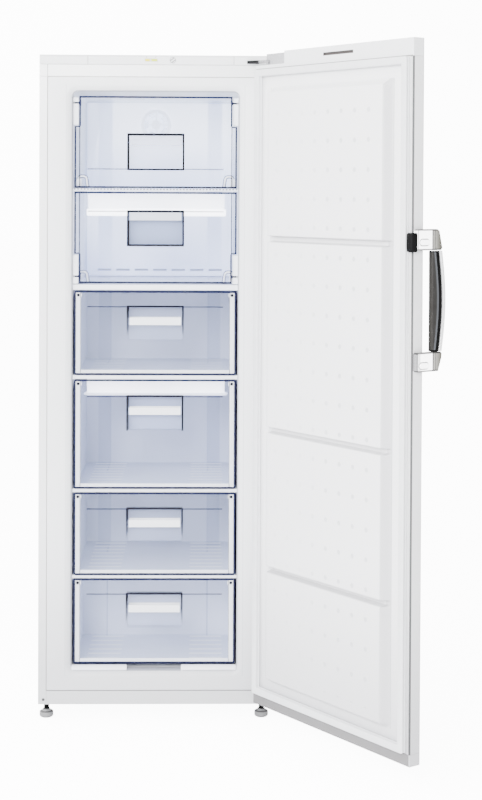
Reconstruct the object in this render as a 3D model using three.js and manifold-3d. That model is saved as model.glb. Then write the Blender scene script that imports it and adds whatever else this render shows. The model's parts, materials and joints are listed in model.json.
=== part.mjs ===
// Upright freezer with its door open, in millimetres, +Z up, its front toward -Y.
// The cabinet is laid out from its own front plane (Y = 0), its middle (X = 0) and
// the floor (Z = 0). The door is laid out closed and then turned on its hinge pins.
import * as THREE from 'three';
import { mergeVertices } from 'three/addons/utils/BufferGeometryUtils.js';
import Module from 'manifold-3d';

const wasm = await Module();
wasm.setup();

// ---- driving dimensions ----------------------------------------------------

const GAP = 0.3; // clearance between touching pieces
const SHEET = 1.2; // steel sheet
const WALL = 2; // formed plastic wall

const HALF_WIDTH = 297.5;
const CABINET_DEPTH = 545;
const CABINET_TOP = 1714;
const BODY_BOTTOM = 43;
const FLANGE = 21; // width of the steel edge on each side of the front
const STRIP_HEIGHT = 25; // the control strip fills the top of the front
const STRIP_BOTTOM = CABINET_TOP - STRIP_HEIGHT;
const STRIP_DEPTH = 30;
const CROSSBAR_HEIGHT = 31;
const CROSSBAR_BOTTOM = STRIP_BOTTOM - CROSSBAR_HEIGHT;
const PLINTH_TOP = 79;

const SIDE_WALL = 84.5; // steel, foam and liner beside the cavity
const BACK_WALL = 83;
const ROOF_DROP = 37.3; // from the crossbar down to the cavity's roof
const CAVITY_HALF = HALF_WIDTH - SIDE_WALL;
const CAVITY_FLOOR = 132;
const CAVITY_ROOF = CROSSBAR_BOTTOM - ROOF_DROP;
const CAVITY_BACK = CABINET_DEPTH - BACK_WALL;
const CAVITY_BEVEL = 13; // the mouth of the cavity flares by this much
const CAVITY_ROUND = 14;
const BAY_DEPTH = 227; // the compressor stands in a bay low at the back
const BAY_TOP = 300;
const BAY_WALL = 18; // foam between the bay and the liner's step in front of it
const BAY_ROOF = 47;
const BAY_FRONT = CABINET_DEPTH - BAY_DEPTH;
const STEP_FRONT = BAY_FRONT - BAY_WALL;
const STEP_TOP = BAY_TOP + BAY_ROOF;

const DUCT_DEPTH = 32; // the duct panel stands before the cavity's back
const DUCT_FRONT = CAVITY_BACK - DUCT_DEPTH;
const SHELF_FRONT = 22;
const SHELF_BACK = DUCT_FRONT - 2;
const SHELF_HALF = CAVITY_HALF - 0.5;
const FRONT_FACE = 18; // outer face of the drawer fronts and flaps
const FRONT_DEPTH = 8;
const FRONT_SKIN = 3;
const PULL_HALF = 70; // half the width of every pull recess
const PULL_DEPTH = 26;
const BIN_BACK = SHELF_BACK - 8;

const DOOR_ANGLE = 125.05; // how far the door stands open, degrees
const DOOR_GAP = 14; // from the cabinet's front plane to the closed door
const DOOR_THICKNESS = 34.6;
const DOOR_BOTTOM = 62.7;
const DOOR_RISE = 1.5; // the door stands this much above the cabinet
const DOOR_TOP = CABINET_TOP + DOOR_RISE;
const DOOR_ROUND = 6;
const TOP_CAP_HEIGHT = 41.5;
const TOP_CAP_BOTTOM = DOOR_TOP - TOP_CAP_HEIGHT;
const BOTTOM_CAP_HEIGHT = 27.3;
const BOTTOM_CAP_TOP = DOOR_BOTTOM + BOTTOM_CAP_HEIGHT;
const HINGE_INSET = 12.7; // from the cabinet's side to the hinge pins
const HINGE_X = HALF_WIDTH - HINGE_INSET;
const HINGE_Y = -42.3;
const GASKET_EDGE = 11.3; // door edge to the gasket
const GASKET_WIDTH = 17.7;
const PANEL_RISE = 22; // the raised middle of the door liner

const FOOT_X = HALF_WIDTH - 18.5;
const FOOT_Y = 38;
const ROLLER_X = HALF_WIDTH - 35.5;
const ROLLER_Y = CABINET_DEPTH - 45;
const ROLLER_RADIUS = 20;
const FAN_X = -12;
const FAN_Z = CAVITY_ROOF - 68.7;

// [floor, roof] of what the cavity holds, from the top down
const FLAP_UPPER = [1372.8, 1609.5];
const FLAP_LOWER = [1127, 1363.5];
const SHELVES = [[1365, 1372], [1110, 1124], [880, 890], [587, 596], [364, 372]];
const DRAWERS = [[890.4, 1108], [596.4, 879], [372.4, 586.6], [143, 363.6]];

// ---- materials -------------------------------------------------------------

const paint = (color, roughness, metalness = 0, opacity = 1) => new THREE.MeshStandardMaterial({
  color, roughness, metalness, opacity, transparent: opacity < 1,
});
const whiteSteel = paint(0xe9ecef, 0.32);
const whitePlastic = paint(0xeef0f2, 0.45);
const greyPlastic = paint(0xb9bec4, 0.5);
const clearBlue = paint(0xc3cdea, 0.15, 0, 0.45);
const frosted = paint(0xe4e8f4, 0.4);
const blackPlastic = paint(0x1c1d20, 0.5);
const darkGrip = paint(0x4a4d52, 0.45);
const chrome = paint(0xc9ccd0, 0.12, 1);
const zinc = paint(0xa9adb2, 0.35, 1);
const aluminium = paint(0xc4c8cc, 0.35, 1);
const gasketRubber = paint(0xdfe1e4, 0.7);
const foam = paint(0xe3d9a8, 0.95);
const blackEnamel = paint(0x17181a, 0.35, 0.2);
const lampYellow = paint(0xd9d34a, 0.3);
const footPlastic = paint(0xd6d8da, 0.55);

// ---- solids ----------------------------------------------------------------

function solid(geometry) {
  const plain = geometry.clone();
  plain.deleteAttribute('normal');
  plain.deleteAttribute('uv');
  const merged = mergeVertices(plain, 1e-4);
  return new wasm.Manifold(new wasm.Mesh({
    numProp: 3,
    vertProperties: new Float32Array(merged.attributes.position.array),
    triVerts: new Uint32Array(merged.index.array),
  }));
}

function surface(shape) {
  const mesh = shape.getMesh();
  const geometry = new THREE.BufferGeometry();
  geometry.setAttribute('position', new THREE.BufferAttribute(mesh.vertProperties, 3));
  geometry.setIndex(new THREE.BufferAttribute(mesh.triVerts, 1));
  return geometry;
}

const join = (shapes) => shapes.reduce((whole, shape) => whole.add(shape));
const cut = (shape, tools) => tools.reduce((rest, tool) => rest.subtract(tool), shape);

function box(x0, x1, y0, y1, z0, z1) {
  const block = new THREE.BoxGeometry(x1 - x0, y1 - y0, z1 - z0);
  return solid(block.translate((x0 + x1) / 2, (y0 + y1) / 2, (z0 + z1) / 2));
}

// A block and its mirror image across the middle of the cabinet.
const pair = (x0, x1, y0, y1, z0, z1) => [
  box(x0, x1, y0, y1, z0, z1),
  box(-x1, -x0, y0, y1, z0, z1),
];

// Turns a form made in (a, b, t) so that t runs along the named axis.
// Along x, (a, b) is (y, z). Along y it is (x, z), and along z it is (x, y).
function lay(geometry, axis, from, to) {
  const turn = new THREE.Matrix4();
  const x = new THREE.Vector3(1, 0, 0);
  const y = new THREE.Vector3(0, 1, 0);
  const z = new THREE.Vector3(0, 0, 1);
  if (axis === 'x') {
    turn.makeBasis(y, z, x);
    turn.setPosition(from, 0, 0);
  } else if (axis === 'y') {
    turn.makeBasis(x, z, y.negate());
    turn.setPosition(0, to, 0);
  } else {
    turn.setPosition(0, 0, from);
  }
  return geometry.applyMatrix4(turn);
}

function plate(outline, axis, from, to, curveSegments = 2) {
  const corners = Array.isArray(outline) ? outline.map(([a, b]) => new THREE.Vector2(a, b)) : null;
  const shape = corners ? new THREE.Shape(corners) : outline;
  const slab = new THREE.ExtrudeGeometry(shape, {
    depth: to - from, bevelEnabled: false, curveSegments,
  });
  return solid(lay(slab, axis, from, to));
}

function roundRect(a0, a1, b0, b1, r) {
  const shape = new THREE.Shape();
  shape.absarc(a1 - r, b1 - r, r, 0, Math.PI / 2);
  shape.absarc(a0 + r, b1 - r, r, Math.PI / 2, Math.PI);
  shape.absarc(a0 + r, b0 + r, r, Math.PI, 1.5 * Math.PI);
  shape.absarc(a1 - r, b0 + r, r, 1.5 * Math.PI, 2 * Math.PI);
  return shape;
}

function cylinder(axis, a, b, from, to, radius, sides = 24, endRadius = radius) {
  const drum = new THREE.CylinderGeometry(endRadius, radius, to - from, sides);
  drum.rotateX(Math.PI / 2).translate(0, 0, (to - from) / 2);
  drum.translate(a, b, 0);
  return solid(lay(drum, axis, from, to));
}

// A form turned about a vertical axis; the profile is [radius, height] from the
// bottom of the axis to its top.
function turned(x, y, profile, sides = 32) {
  const points = profile.map(([radius, height]) => new THREE.Vector2(radius, height));
  return solid(new THREE.LatheGeometry(points, sides).rotateX(Math.PI / 2).translate(x, y, 0));
}

// A round bar along straight runs, with each corner rounded over the given reach.
function bentBar(points, radius, reach, steps, sides = 8) {
  const corners = points.map((point) => new THREE.Vector3(...point));
  const toward = (a, b) => a.clone().lerp(b, reach / a.distanceTo(b));
  const path = new THREE.CurvePath();
  let start = corners[0];
  for (let i = 1; i < corners.length - 1; i += 1) {
    const before = toward(corners[i], corners[i - 1]);
    const after = toward(corners[i], corners[i + 1]);
    path.add(new THREE.LineCurve3(start, before));
    path.add(new THREE.QuadraticBezierCurve3(before, corners[i], after));
    start = after;
  }
  path.add(new THREE.LineCurve3(start, corners[corners.length - 1]));
  const ring = new THREE.Shape().absarc(0, 0, radius, 0, 2 * Math.PI);
  const bar = { steps, extrudePath: path, curveSegments: sides / 2 };
  return solid(new THREE.ExtrudeGeometry(ring, bar));
}

function add(group, name, shape, material) {
  const mesh = new THREE.Mesh(surface(shape), material);
  mesh.name = name;
  group.add(mesh);
}

const freezer = new THREE.Group();
const cabinet = new THREE.Group();
freezer.add(cabinet);

// ---- cabinet body ----------------------------------------------------------

// The room inside the liner, grown outward by `grow` on every side but the front.
function cavity(grow) {
  const half = CAVITY_HALF + grow;
  const outline = roundRect(-half, half, CAVITY_FLOOR - grow, CAVITY_ROOF + grow, CAVITY_ROUND);
  const tub = plate(outline, 'y', -1, CAVITY_BACK + grow);
  const step = box(
    -HALF_WIDTH, HALF_WIDTH, STEP_FRONT + grow, CABINET_DEPTH, 0, STEP_TOP - grow,
  );
  const mouth = new THREE.ExtrudeGeometry(outline, {
    depth: 1, bevelThickness: CAVITY_BEVEL, bevelSize: CAVITY_BEVEL, bevelSegments: 1,
    curveSegments: 2,
  });
  const flare = solid(lay(mouth, 'y', 0, grow));
  return tub.subtract(step).add(flare);
}

const shellInside = HALF_WIDTH - SHEET;
const flangeInside = HALF_WIDTH - FLANGE;
const shellTop = STRIP_BOTTOM - GAP;
const coreHalf = shellInside - GAP;

// Each side is one sheet bent in at the front; a folded bar joins the two at the top.
const sideSection = (side) => [
  [side * flangeInside, 0], [side * HALF_WIDTH, 0], [side * HALF_WIDTH, CABINET_DEPTH],
  [side * shellInside, CABINET_DEPTH], [side * shellInside, SHEET], [side * flangeInside, SHEET],
];
const inBar = 0.1; // the bar sits this far inside the sheets' faces
const barFold = 20;
add(cabinet, 'outer_shell', join([
  plate(sideSection(1), 'z', BODY_BOTTOM, shellTop),
  plate(sideSection(-1).reverse(), 'z', BODY_BOTTOM, shellTop),
  plate([
    [inBar, CROSSBAR_BOTTOM], [SHEET - inBar, CROSSBAR_BOTTOM],
    [SHEET - inBar, shellTop - SHEET], [barFold, shellTop - SHEET],
    [barFold, shellTop - inBar], [inBar, shellTop - inBar],
  ], 'x', -shellInside - inBar, shellInside + inBar),
]), whiteSteel);

const linerFrame = box(
  -flangeInside + GAP, flangeInside - GAP, 0, WALL, PLINTH_TOP, CROSSBAR_BOTTOM - GAP,
);
const linerLimit = box(-HALF_WIDTH, HALF_WIDTH, 0, CABINET_DEPTH, 0, CABINET_TOP);
const linerTub = cavity(WALL).intersect(linerLimit);
add(cabinet, 'inner_liner', linerFrame.add(linerTub).subtract(cavity(0)), whitePlastic);

const foamFront = WALL + 0.5;
const coilRoom = 10; // behind the foam, for the condenser
const foamBack = CABINET_DEPTH - coilRoom;
const lidWall = 2.5;
const lidClear = lidWall + GAP;
const floorTop = BODY_BOTTOM + SHEET;
add(cabinet, 'cabinet_foam', cut(join([
  box(-coreHalf, coreHalf, foamFront, foamBack, floorTop + 2 * GAP, shellTop - SHEET - GAP),
  box(
    -HALF_WIDTH + lidClear, HALF_WIDTH - lidClear, STRIP_DEPTH + 2 * GAP + lidClear, foamBack,
    shellTop - 10, CABINET_TOP - lidClear,
  ),
]), [
  cavity(WALL + GAP),
  box(-HALF_WIDTH, HALF_WIDTH, BAY_FRONT, CABINET_DEPTH, 0, BAY_TOP),
]), foam);

const backFace = CABINET_DEPTH - SHEET;
add(cabinet, 'back_panel', box(
  -coreHalf, coreHalf, backFace, CABINET_DEPTH, BAY_TOP + GAP, shellTop,
), whiteSteel);

add(cabinet, 'top_panel', cut(
  box(-HALF_WIDTH, HALF_WIDTH, STRIP_DEPTH + GAP, CABINET_DEPTH, STRIP_BOTTOM, CABINET_TOP),
  [box(
    -HALF_WIDTH + lidWall, HALF_WIDTH - lidWall, STRIP_DEPTH + GAP + lidWall, CABINET_DEPTH - lidWall,
    STRIP_BOTTOM - 1, CABINET_TOP - lidWall,
  )],
), whitePlastic);

// The floor of the cabinet, with a pair of cheeks for each rear roller.
const axleRadius = 3.6;
const cheekHalf = 14;
const cheeks = [-cheekHalf, cheekHalf - 2].flatMap((offset) => {
  const x = ROLLER_X + offset;
  return pair(x, x + 2, ROLLER_Y - cheekHalf, ROLLER_Y + cheekHalf, cheekHalf, BODY_BOTTOM + 0.5);
});
const floorBack = backFace - GAP;
const floorLip = BODY_BOTTOM + 18;
add(cabinet, 'base_plate', cut(join([
  plate([
    [WALL, BODY_BOTTOM], [floorBack, BODY_BOTTOM], [floorBack, floorLip],
    [floorBack - SHEET, floorLip], [floorBack - SHEET, floorTop], [WALL, floorTop],
  ], 'x', -coreHalf, coreHalf),
  ...cheeks,
]), [cylinder('x', ROLLER_Y, ROLLER_RADIUS, -HALF_WIDTH, HALF_WIDTH, axleRadius + 0.4, 16)]), zinc);

add(cabinet, 'front_plinth', box(
  -flangeInside + GAP, flangeInside - GAP, 0, 1.6, BODY_BOTTOM, PLINTH_TOP - GAP,
), whiteSteel);

// ---- control strip ---------------------------------------------------------

const KNOB_X = 43.5;
const STRIP_MIDDLE = STRIP_BOTTOM + 12;
const KNOB_RADIUS = 7.4;
const LAMPS = [-28, 5];
const bracketBottom = STRIP_BOTTOM + 4.5;
const bracketThick = 6.5;
const bracketTop = bracketBottom + bracketThick;
const stripSkin = 3;
const stripRound = 5;
const stripInside = CABINET_TOP - stripSkin;
const lampHalf = 3.5;
const seams = [-174, 200]; // fine grooves that part the strip in three
const bracketSpan = [HALF_WIDTH - 63.5, HALF_WIDTH - 33.5];

add(cabinet, 'control_panel', cut(join([
  plate([
    [0, STRIP_BOTTOM], [0, CABINET_TOP - stripRound], [1.6, CABINET_TOP - 1.4],
    [stripRound, CABINET_TOP],
    [STRIP_DEPTH, CABINET_TOP], [STRIP_DEPTH, stripInside],
    [stripSkin, stripInside], [stripSkin, STRIP_BOTTOM],
  ], 'x', -HALF_WIDTH, HALF_WIDTH),
  ...pair(
    HALF_WIDTH - stripSkin, HALF_WIDTH - 0.5, 2, STRIP_DEPTH - 0.5,
    STRIP_BOTTOM + 0.5, CABINET_TOP - 1,
  ),
]), [
  box(LAMPS[0], LAMPS[1], -1, 4, STRIP_MIDDLE - lampHalf, STRIP_MIDDLE + lampHalf),
  cylinder('y', KNOB_X, STRIP_MIDDLE, -1, 4, KNOB_RADIUS + 0.4),
  ...seams.map((x) => box(x - 0.4, x + 0.4, -1, 0.8, STRIP_BOTTOM - 1, CABINET_TOP)),
  box(
    bracketSpan[0] - 0.5, bracketSpan[1] + 0.5, -1, 4, bracketBottom - 0.5, bracketTop + 0.5,
  ),
]), whitePlastic);

add(cabinet, 'indicator_lamps', box(
  LAMPS[0] + GAP, LAMPS[1] - GAP, 0.5, 6,
  STRIP_MIDDLE - lampHalf + GAP, STRIP_MIDDLE + lampHalf - GAP,
), lampYellow);

// The knob's slot runs across its face at a slant, for a coin or a screwdriver.
const slot = new THREE.BoxGeometry(11, 2, 2.2).rotateY(-Math.PI / 5);
slot.translate(KNOB_X, -0.4, STRIP_MIDDLE);
add(cabinet, 'thermostat_knob', cut(
  cylinder('y', KNOB_X, STRIP_MIDDLE, -0.6, 9, KNOB_RADIUS),
  [solid(slot)],
), whitePlastic);

// ---- hinges ----------------------------------------------------------------

const pinRadius = 3;
const pinShort = 0.5; // each pin ends this far inside its bush
const bushTopFrom = TOP_CAP_BOTTOM + 2;
const bushBottomTo = DOOR_BOTTOM + 16.8;
const aroundPin = (points) => points.map(([dx, dy]) => [HINGE_X + dx, HINGE_Y + dy]);
add(cabinet, 'top_hinge_bracket', join([
  plate([
    [bracketSpan[0], 28], [bracketSpan[0], -8],
    ...aroundPin([[-22.8, 12.3], [-1.8, -3.9], [1.7, -3.7], [3.8, -1.2], [3.4, 2.3]]),
    [bracketSpan[1], -14], [bracketSpan[1], 28],
  ], 'z', bracketBottom, bracketTop),
  cylinder('z', HINGE_X, HINGE_Y, bushTopFrom + pinShort, bracketBottom + 1, pinRadius, 16),
]), blackPlastic);

const lowerPlateTop = DOOR_BOTTOM - 3;
const plateSpan = [HALF_WIDTH - 39.5, HALF_WIDTH - 5.5];
add(cabinet, 'bottom_hinge_bracket', join([
  box(plateSpan[0], plateSpan[1], -3.4, -GAP, 46, lowerPlateTop),
  plate([
    [plateSpan[0], -1], [plateSpan[0], -30],
    ...aroundPin([[-12.8, -0.7], [-4.8, -4.7], [4.2, -4.7]]),
    [plateSpan[1], HINGE_Y + 2.3], [plateSpan[1], -1],
  ], 'z', 54, lowerPlateTop - 0.1),
  cylinder('z', HINGE_X, HINGE_Y, lowerPlateTop - 1, bushBottomTo - 2.5, pinRadius, 16),
]), zinc);

// ---- feet and rollers ------------------------------------------------------

const footProfile = [
  [0, 0], [17.2, 0], [18, 1.2], [18, 19], [16.5, 20.5], [7, 27], [7, 31], [5, 31],
  [5, BODY_BOTTOM - GAP], [0, BODY_BOTTOM - GAP],
];
add(cabinet, 'foot_left', turned(-FOOT_X, FOOT_Y, footProfile), footPlastic);
add(cabinet, 'foot_right', turned(FOOT_X, FOOT_Y, footProfile), footPlastic);

for (const [name, x] of [['roller_left', -ROLLER_X], ['roller_right', ROLLER_X]]) {
  add(cabinet, name, join([
    cylinder('x', ROLLER_Y, ROLLER_RADIUS, x - 11, x + 11, ROLLER_RADIUS, 32),
    cylinder('x', ROLLER_Y, ROLLER_RADIUS, x - 15.5, x + 15.5, axleRadius, 12),
  ]), greyPlastic);
}

// ---- shelves and the cold air duct -----------------------------------------

SHELVES.forEach(([bottom, top], i) => {
  const skin = (top - bottom) * 0.35;
  const ribs = [-106, 0, 106].map((x) => (
    box(x - 1.5, x + 1.5, SHELF_FRONT + 2, SHELF_BACK - 2, bottom + 0.5, top - 0.5)));
  const tray = cut(box(-SHELF_HALF, SHELF_HALF, SHELF_FRONT, SHELF_BACK, bottom, top), [
    box(
      -SHELF_HALF + 4, SHELF_HALF - 4, SHELF_FRONT + 5, SHELF_BACK - 4, bottom - 1, top - skin,
    ),
  ]);
  add(cabinet, `shelf_${i + 1}`, join([tray, ...ribs]), frosted);
});

const DUCT_HALF = CAVITY_HALF - 8;
const ductTop = CAVITY_ROOF - 8.7;
const ductBottom = SHELVES[1][1] + 2;
const fanHole = 36;
const slotPitch = 52;
const slots = [-3, -2, -1, 0, 1, 2, 3].map((n) => {
  const x = n * slotPitch;
  return box(x - 19, x + 19, DUCT_FRONT - 1, DUCT_FRONT + 4, ductBottom + 14, ductBottom + 20);
});
const coolerBack = CAVITY_BACK - GAP;
add(cabinet, 'duct_panel', cut(
  box(-DUCT_HALF, DUCT_HALF, DUCT_FRONT, coolerBack, ductBottom, ductTop),
  [
    box(
      -DUCT_HALF + WALL, DUCT_HALF - WALL, DUCT_FRONT + WALL, CAVITY_BACK,
      ductBottom - 1, ductTop - WALL,
    ),
    cylinder('y', FAN_X, FAN_Z, DUCT_FRONT - 1, DUCT_FRONT + 4, fanHole, 32),
    ...slots,
  ],
), whitePlastic);

const finPitch = 21;
const fins = Array.from({ length: 15 }, (_, i) => {
  const z = 1160 + i * finPitch;
  return box(-178, 178, coolerBack - 22, coolerBack - 3, z, z + WALL);
});
add(cabinet, 'evaporator', join([
  box(-180, 180, coolerBack - 4, coolerBack, 1155, 1460),
  ...fins,
]), aluminium);

add(cabinet, 'fan_motor', join([
  cylinder('y', FAN_X, FAN_Z, DUCT_FRONT + 17, coolerBack, 21, 24),
  cylinder('y', FAN_X, FAN_Z, DUCT_FRONT + 8, DUCT_FRONT + 18, 2.2, 12),
]), blackPlastic);

const blades = [0, 1, 2, 3, 4].map((n) => {
  const blade = new THREE.BoxGeometry(24, 1.6, 15).rotateX(0.5).translate(20, 0, 0);
  return solid(blade.rotateY((n * 2 * Math.PI) / 5).translate(FAN_X, DUCT_FRONT + 10, FAN_Z));
});
add(cabinet, 'fan_blade', cut(join([
  cylinder('y', FAN_X, FAN_Z, DUCT_FRONT + 5, DUCT_FRONT + 15, 10, 20),
  ...blades,
]), [cylinder('y', FAN_X, FAN_Z, DUCT_FRONT + 7, DUCT_FRONT + 16, 2.6, 12)]), blackPlastic);

const guardBack = DUCT_FRONT - GAP;
const guardFront = guardBack - 5;
const ribLong = fanHole - 1;
const ribHalf = 1.5;
add(cabinet, 'fan_guard', join([
  cylinder('y', FAN_X, FAN_Z, guardFront, guardBack, 43, 36)
    .subtract(cylinder('y', FAN_X, FAN_Z, guardFront - 1, guardBack + 1, fanHole - 2, 36)),
  box(
    FAN_X - ribLong, FAN_X + ribLong, guardFront + 1, guardBack - 1,
    FAN_Z - ribHalf, FAN_Z + ribHalf,
  ),
  box(
    FAN_X - ribHalf, FAN_X + ribHalf, guardFront + 1, guardBack - 1,
    FAN_Z - ribLong, FAN_Z + ribLong,
  ),
  cylinder('y', FAN_X, FAN_Z, guardFront, guardBack, 13, 24),
]), frosted);

// ---- cooling machine in the bay at the back --------------------------------

const POT_X = 60;
const POT_Y = CABINET_DEPTH - 113;
const POT_RADIUS = 84;
const plateTop = floorTop + 6;
const potTop = plateTop + 172;
add(cabinet, 'compressor', join([
  turned(POT_X, POT_Y, [
    [0, plateTop + 8], [60, plateTop + 8], [80, plateTop + 30], [POT_RADIUS, plateTop + 60],
    [POT_RADIUS, plateTop + 110], [76, plateTop + 145], [48, plateTop + 166], [0, potTop],
  ], 28),
  box(POT_X - 105, POT_X + 105, POT_Y - 62, POT_Y + 62, plateTop, plateTop + 4),
  cylinder('z', POT_X, POT_Y, plateTop + 3, plateTop + 12, 50, 20),
  ...[[-92, -50], [92, -50], [-92, 50], [92, 50]].map(([dx, dy]) => (
    cylinder('z', POT_X + dx, POT_Y + dy, floorTop + GAP, plateTop + 1, 9, 12))),
]), blackEnamel);

add(cabinet, 'terminal_box', box(
  POT_X + POT_RADIUS + GAP, POT_X + 126, POT_Y - 30, POT_Y + 30, 112, 158,
), blackPlastic);

const trayBottom = potTop + GAP;
const trayTop = trayBottom + 38;
const trayOutline = (less) => roundRect(
  POT_X - 90 + less, POT_X + 90 - less, POT_Y - 62 + less, POT_Y + 72 - less, 16 - less,
);
add(cabinet, 'drip_tray', cut(
  plate(trayOutline(0), 'z', trayBottom, trayTop),
  [plate(trayOutline(2.5), 'z', trayBottom + 3, trayTop + 1)],
), blackPlastic);

const coilRadius = 2.4;
const coilY = backFace - GAP - coilRadius;
const coilHalf = HALF_WIDTH - 47.5;
const rowPitch = 155;
const coilPath = Array.from({ length: 9 }, (_, i) => {
  const z = BAY_TOP + 30 + i * rowPitch;
  const from = i % 2 ? coilHalf : -coilHalf;
  return [[from, coilY, z], [-from, coilY, z]];
}).flat();
const coilStart = [-coilHalf, coilY, BAY_TOP + 6];
add(cabinet, 'condenser_coil', bentBar(
  [coilStart, ...coilPath], coilRadius, 20, 90, 6,
), blackEnamel);

const INLET_X = -192;
const inletHalf = 22;
const inletBack = CABINET_DEPTH - 4;
add(cabinet, 'mains_inlet', cut(
  box(INLET_X - inletHalf, INLET_X + inletHalf, inletBack - 29, inletBack, floorTop + GAP, 82),
  [cylinder('y', INLET_X, 64, inletBack - 21, CABINET_DEPTH, 8.5, 20)],
), blackPlastic);

// ---- flaps and drawers -----------------------------------------------------

const frontBack = FRONT_FACE + FRONT_DEPTH;

// A pull recess: a cup behind the front's skin, with a bar across its upper part
// that fingers reach up behind. Returns what is joined on and what is cut out.
function pull(bottom, top, barBottom, barTop) {
  const half = PULL_HALF + WALL;
  const back = FRONT_FACE + PULL_DEPTH;
  const cup = box(-half, half, FRONT_FACE + 1, back, bottom - WALL, top + WALL);
  const room = box(-PULL_HALF, PULL_HALF, FRONT_FACE - 1, back - WALL, bottom, top);
  const barHalf = PULL_HALF + 1;
  const bar = box(-barHalf, barHalf, FRONT_FACE, FRONT_FACE + FRONT_SKIN, barBottom, barTop);
  return { cup, room, bar };
}

// A dished front with rounded corners: a skin and a rim around its back.
function dished(outline, inside) {
  return plate(outline, 'y', FRONT_FACE, frontBack)
    .subtract(plate(inside, 'y', FRONT_FACE + FRONT_SKIN, frontBack + 1));
}

function withPull(front, { cup, room, bar }) {
  return front.add(cup).subtract(room).add(bar);
}

const FLAP_HALF = CAVITY_HALF - 4;
const FLAP_NARROW = CAVITY_HALF - 16;
const PEG_Y = FRONT_FACE + 9;
const PEG_RADIUS = 4;
const pegUpperZ = 1592;
const pegLowerZ = 1145;
const upperNeck = 1532; // the flaps narrow beside their hinge blocks
const lowerNeck = 1203.5;

// A flap's outline, shrunk by `less`; it is wide up to the neck and narrow beyond it.
function flapOutline(less, wideEnd, neck, narrowEnd) {
  const half = FLAP_HALF - less;
  const narrow = FLAP_NARROW - less;
  const inward = narrowEnd > wideEnd ? less : -less;
  const [z0, z1, z2] = [wideEnd + inward, neck - inward, narrowEnd - inward];
  return [
    [-half, z0], [half, z0], [half, z1], [narrow, z1],
    [narrow, z2], [-narrow, z2], [-narrow, z1], [-half, z1],
  ];
}
const inset = FRONT_SKIN;
const upperShape = [FLAP_UPPER[0], upperNeck, FLAP_UPPER[1]];
const lowerShape = [FLAP_LOWER[1], lowerNeck, FLAP_LOWER[0]];

// Each flap hangs on two ears behind its narrow part, with a peg into each block.
const ears = (z) => pair(
  FLAP_NARROW - 5, FLAP_NARROW, FRONT_FACE + 1, PEG_Y + 6, z - 7, z + 7,
);
const pegEnd = FLAP_NARROW + 11;
const pegs = (z) => [
  cylinder('x', PEG_Y, z, FLAP_NARROW - 1, pegEnd, PEG_RADIUS, 16),
  cylinder('x', PEG_Y, z, -pegEnd, -FLAP_NARROW + 1, PEG_RADIUS, 16),
];
add(cabinet, 'flap_upper', join([
  withPull(
    dished(flapOutline(0, ...upperShape), flapOutline(inset, ...upperShape)),
    pull(1422, 1510, 1484, 1510),
  ),
  ...ears(pegUpperZ),
  ...pegs(pegUpperZ),
]), clearBlue);
add(cabinet, 'flap_lower', join([
  withPull(
    dished(flapOutline(0, ...lowerShape), flapOutline(inset, ...lowerShape)),
    pull(1226, 1312, 1290, 1312),
  ),
  ...ears(pegLowerZ),
  ...pegs(pegLowerZ),
]), clearBlue);

const blockInside = FLAP_NARROW + 2;
const blocks = [
  ['pivot_block_upper', pegUpperZ, upperNeck + 3, FLAP_UPPER[1] - 4],
  ['pivot_block_lower', pegLowerZ, FLAP_LOWER[0] - 1, lowerNeck - 3],
];
const sides = [['left', -SHELF_HALF, -blockInside], ['right', blockInside, SHELF_HALF]];
for (const [name, z, bottom, top] of blocks) {
  for (const [side, x0, x1] of sides) {
    add(cabinet, `${name}_${side}`, cut(
      box(x0, x1, SHELF_FRONT + 1, SHELF_FRONT + 26, bottom, top),
      [cylinder('x', PEG_Y, z, x0 - 1, x1 + 1, PEG_RADIUS + 0.5, 16)],
    ), frosted);
  }
}

const DRAWER_HALF = CAVITY_HALF - 4.5;
const BIN_HALF = CAVITY_HALF - 7;
const BIN_WALL = 2.5;
const BIN_LIP = 9.5; // width of the lip around a bin's top
const POST_INSIDE = BIN_HALF - 14;
const PULL_HEIGHT = 85;
const pullTops = [1066, 834, 543, 322];

DRAWERS.forEach(([bottom, top], i) => {
  const back = i === 3 ? STEP_FRONT - 10 : BIN_BACK;
  const front = frontBack + GAP;
  const floor = bottom + 1;
  const rim = top - 14;
  const inside = BIN_HALF - BIN_WALL;
  const bin = cut(box(-BIN_HALF, BIN_HALF, front + 0.5, back, floor, rim), [
    box(-inside, inside, front - 1, back - BIN_WALL, floor + BIN_WALL, rim + 1),
  ]);
  const lipHalf = BIN_HALF + 1.5;
  const lip = cut(box(-lipHalf, lipHalf, front + 1, back + 2, rim - 3, rim + 1), [
    box(-lipHalf + BIN_LIP, lipHalf - BIN_LIP, front - 1, back + 2 - BIN_LIP, rim - 4, rim + 2),
  ]);
  add(cabinet, `drawer_${i + 1}_bin`, join([
    bin,
    lip,
    ...pair(POST_INSIDE, BIN_HALF + 1, front, front + 3.5, floor + 0.5, top - 3),
  ]), frosted);

  const outline = (less) => roundRect(
    -DRAWER_HALF + less, DRAWER_HALF - less, bottom + less, top - less, 5,
  );
  const pullTop = pullTops[i];
  const parts = pull(pullTop - PULL_HEIGHT, pullTop, pullTop - 46, pullTop - 27);
  const face = dished(outline(0), outline(inset));
  add(cabinet, `drawer_${i + 1}_front`, withPull(face, parts), clearBlue);
});

// ---- door ------------------------------------------------------------------

// The door turns about the line through both hinge pins. Its pieces are laid out
// closed: u runs from its hinge edge, v outward from its inner face.
const door = new THREE.Group();
door.position.set(HINGE_X, HINGE_Y, 0);
door.rotation.z = THREE.MathUtils.degToRad(DOOR_ANGLE);
cabinet.add(door);

const leaf = new THREE.Group();
leaf.position.set(-HINGE_X, -HINGE_Y, 0);
door.add(leaf);

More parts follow.
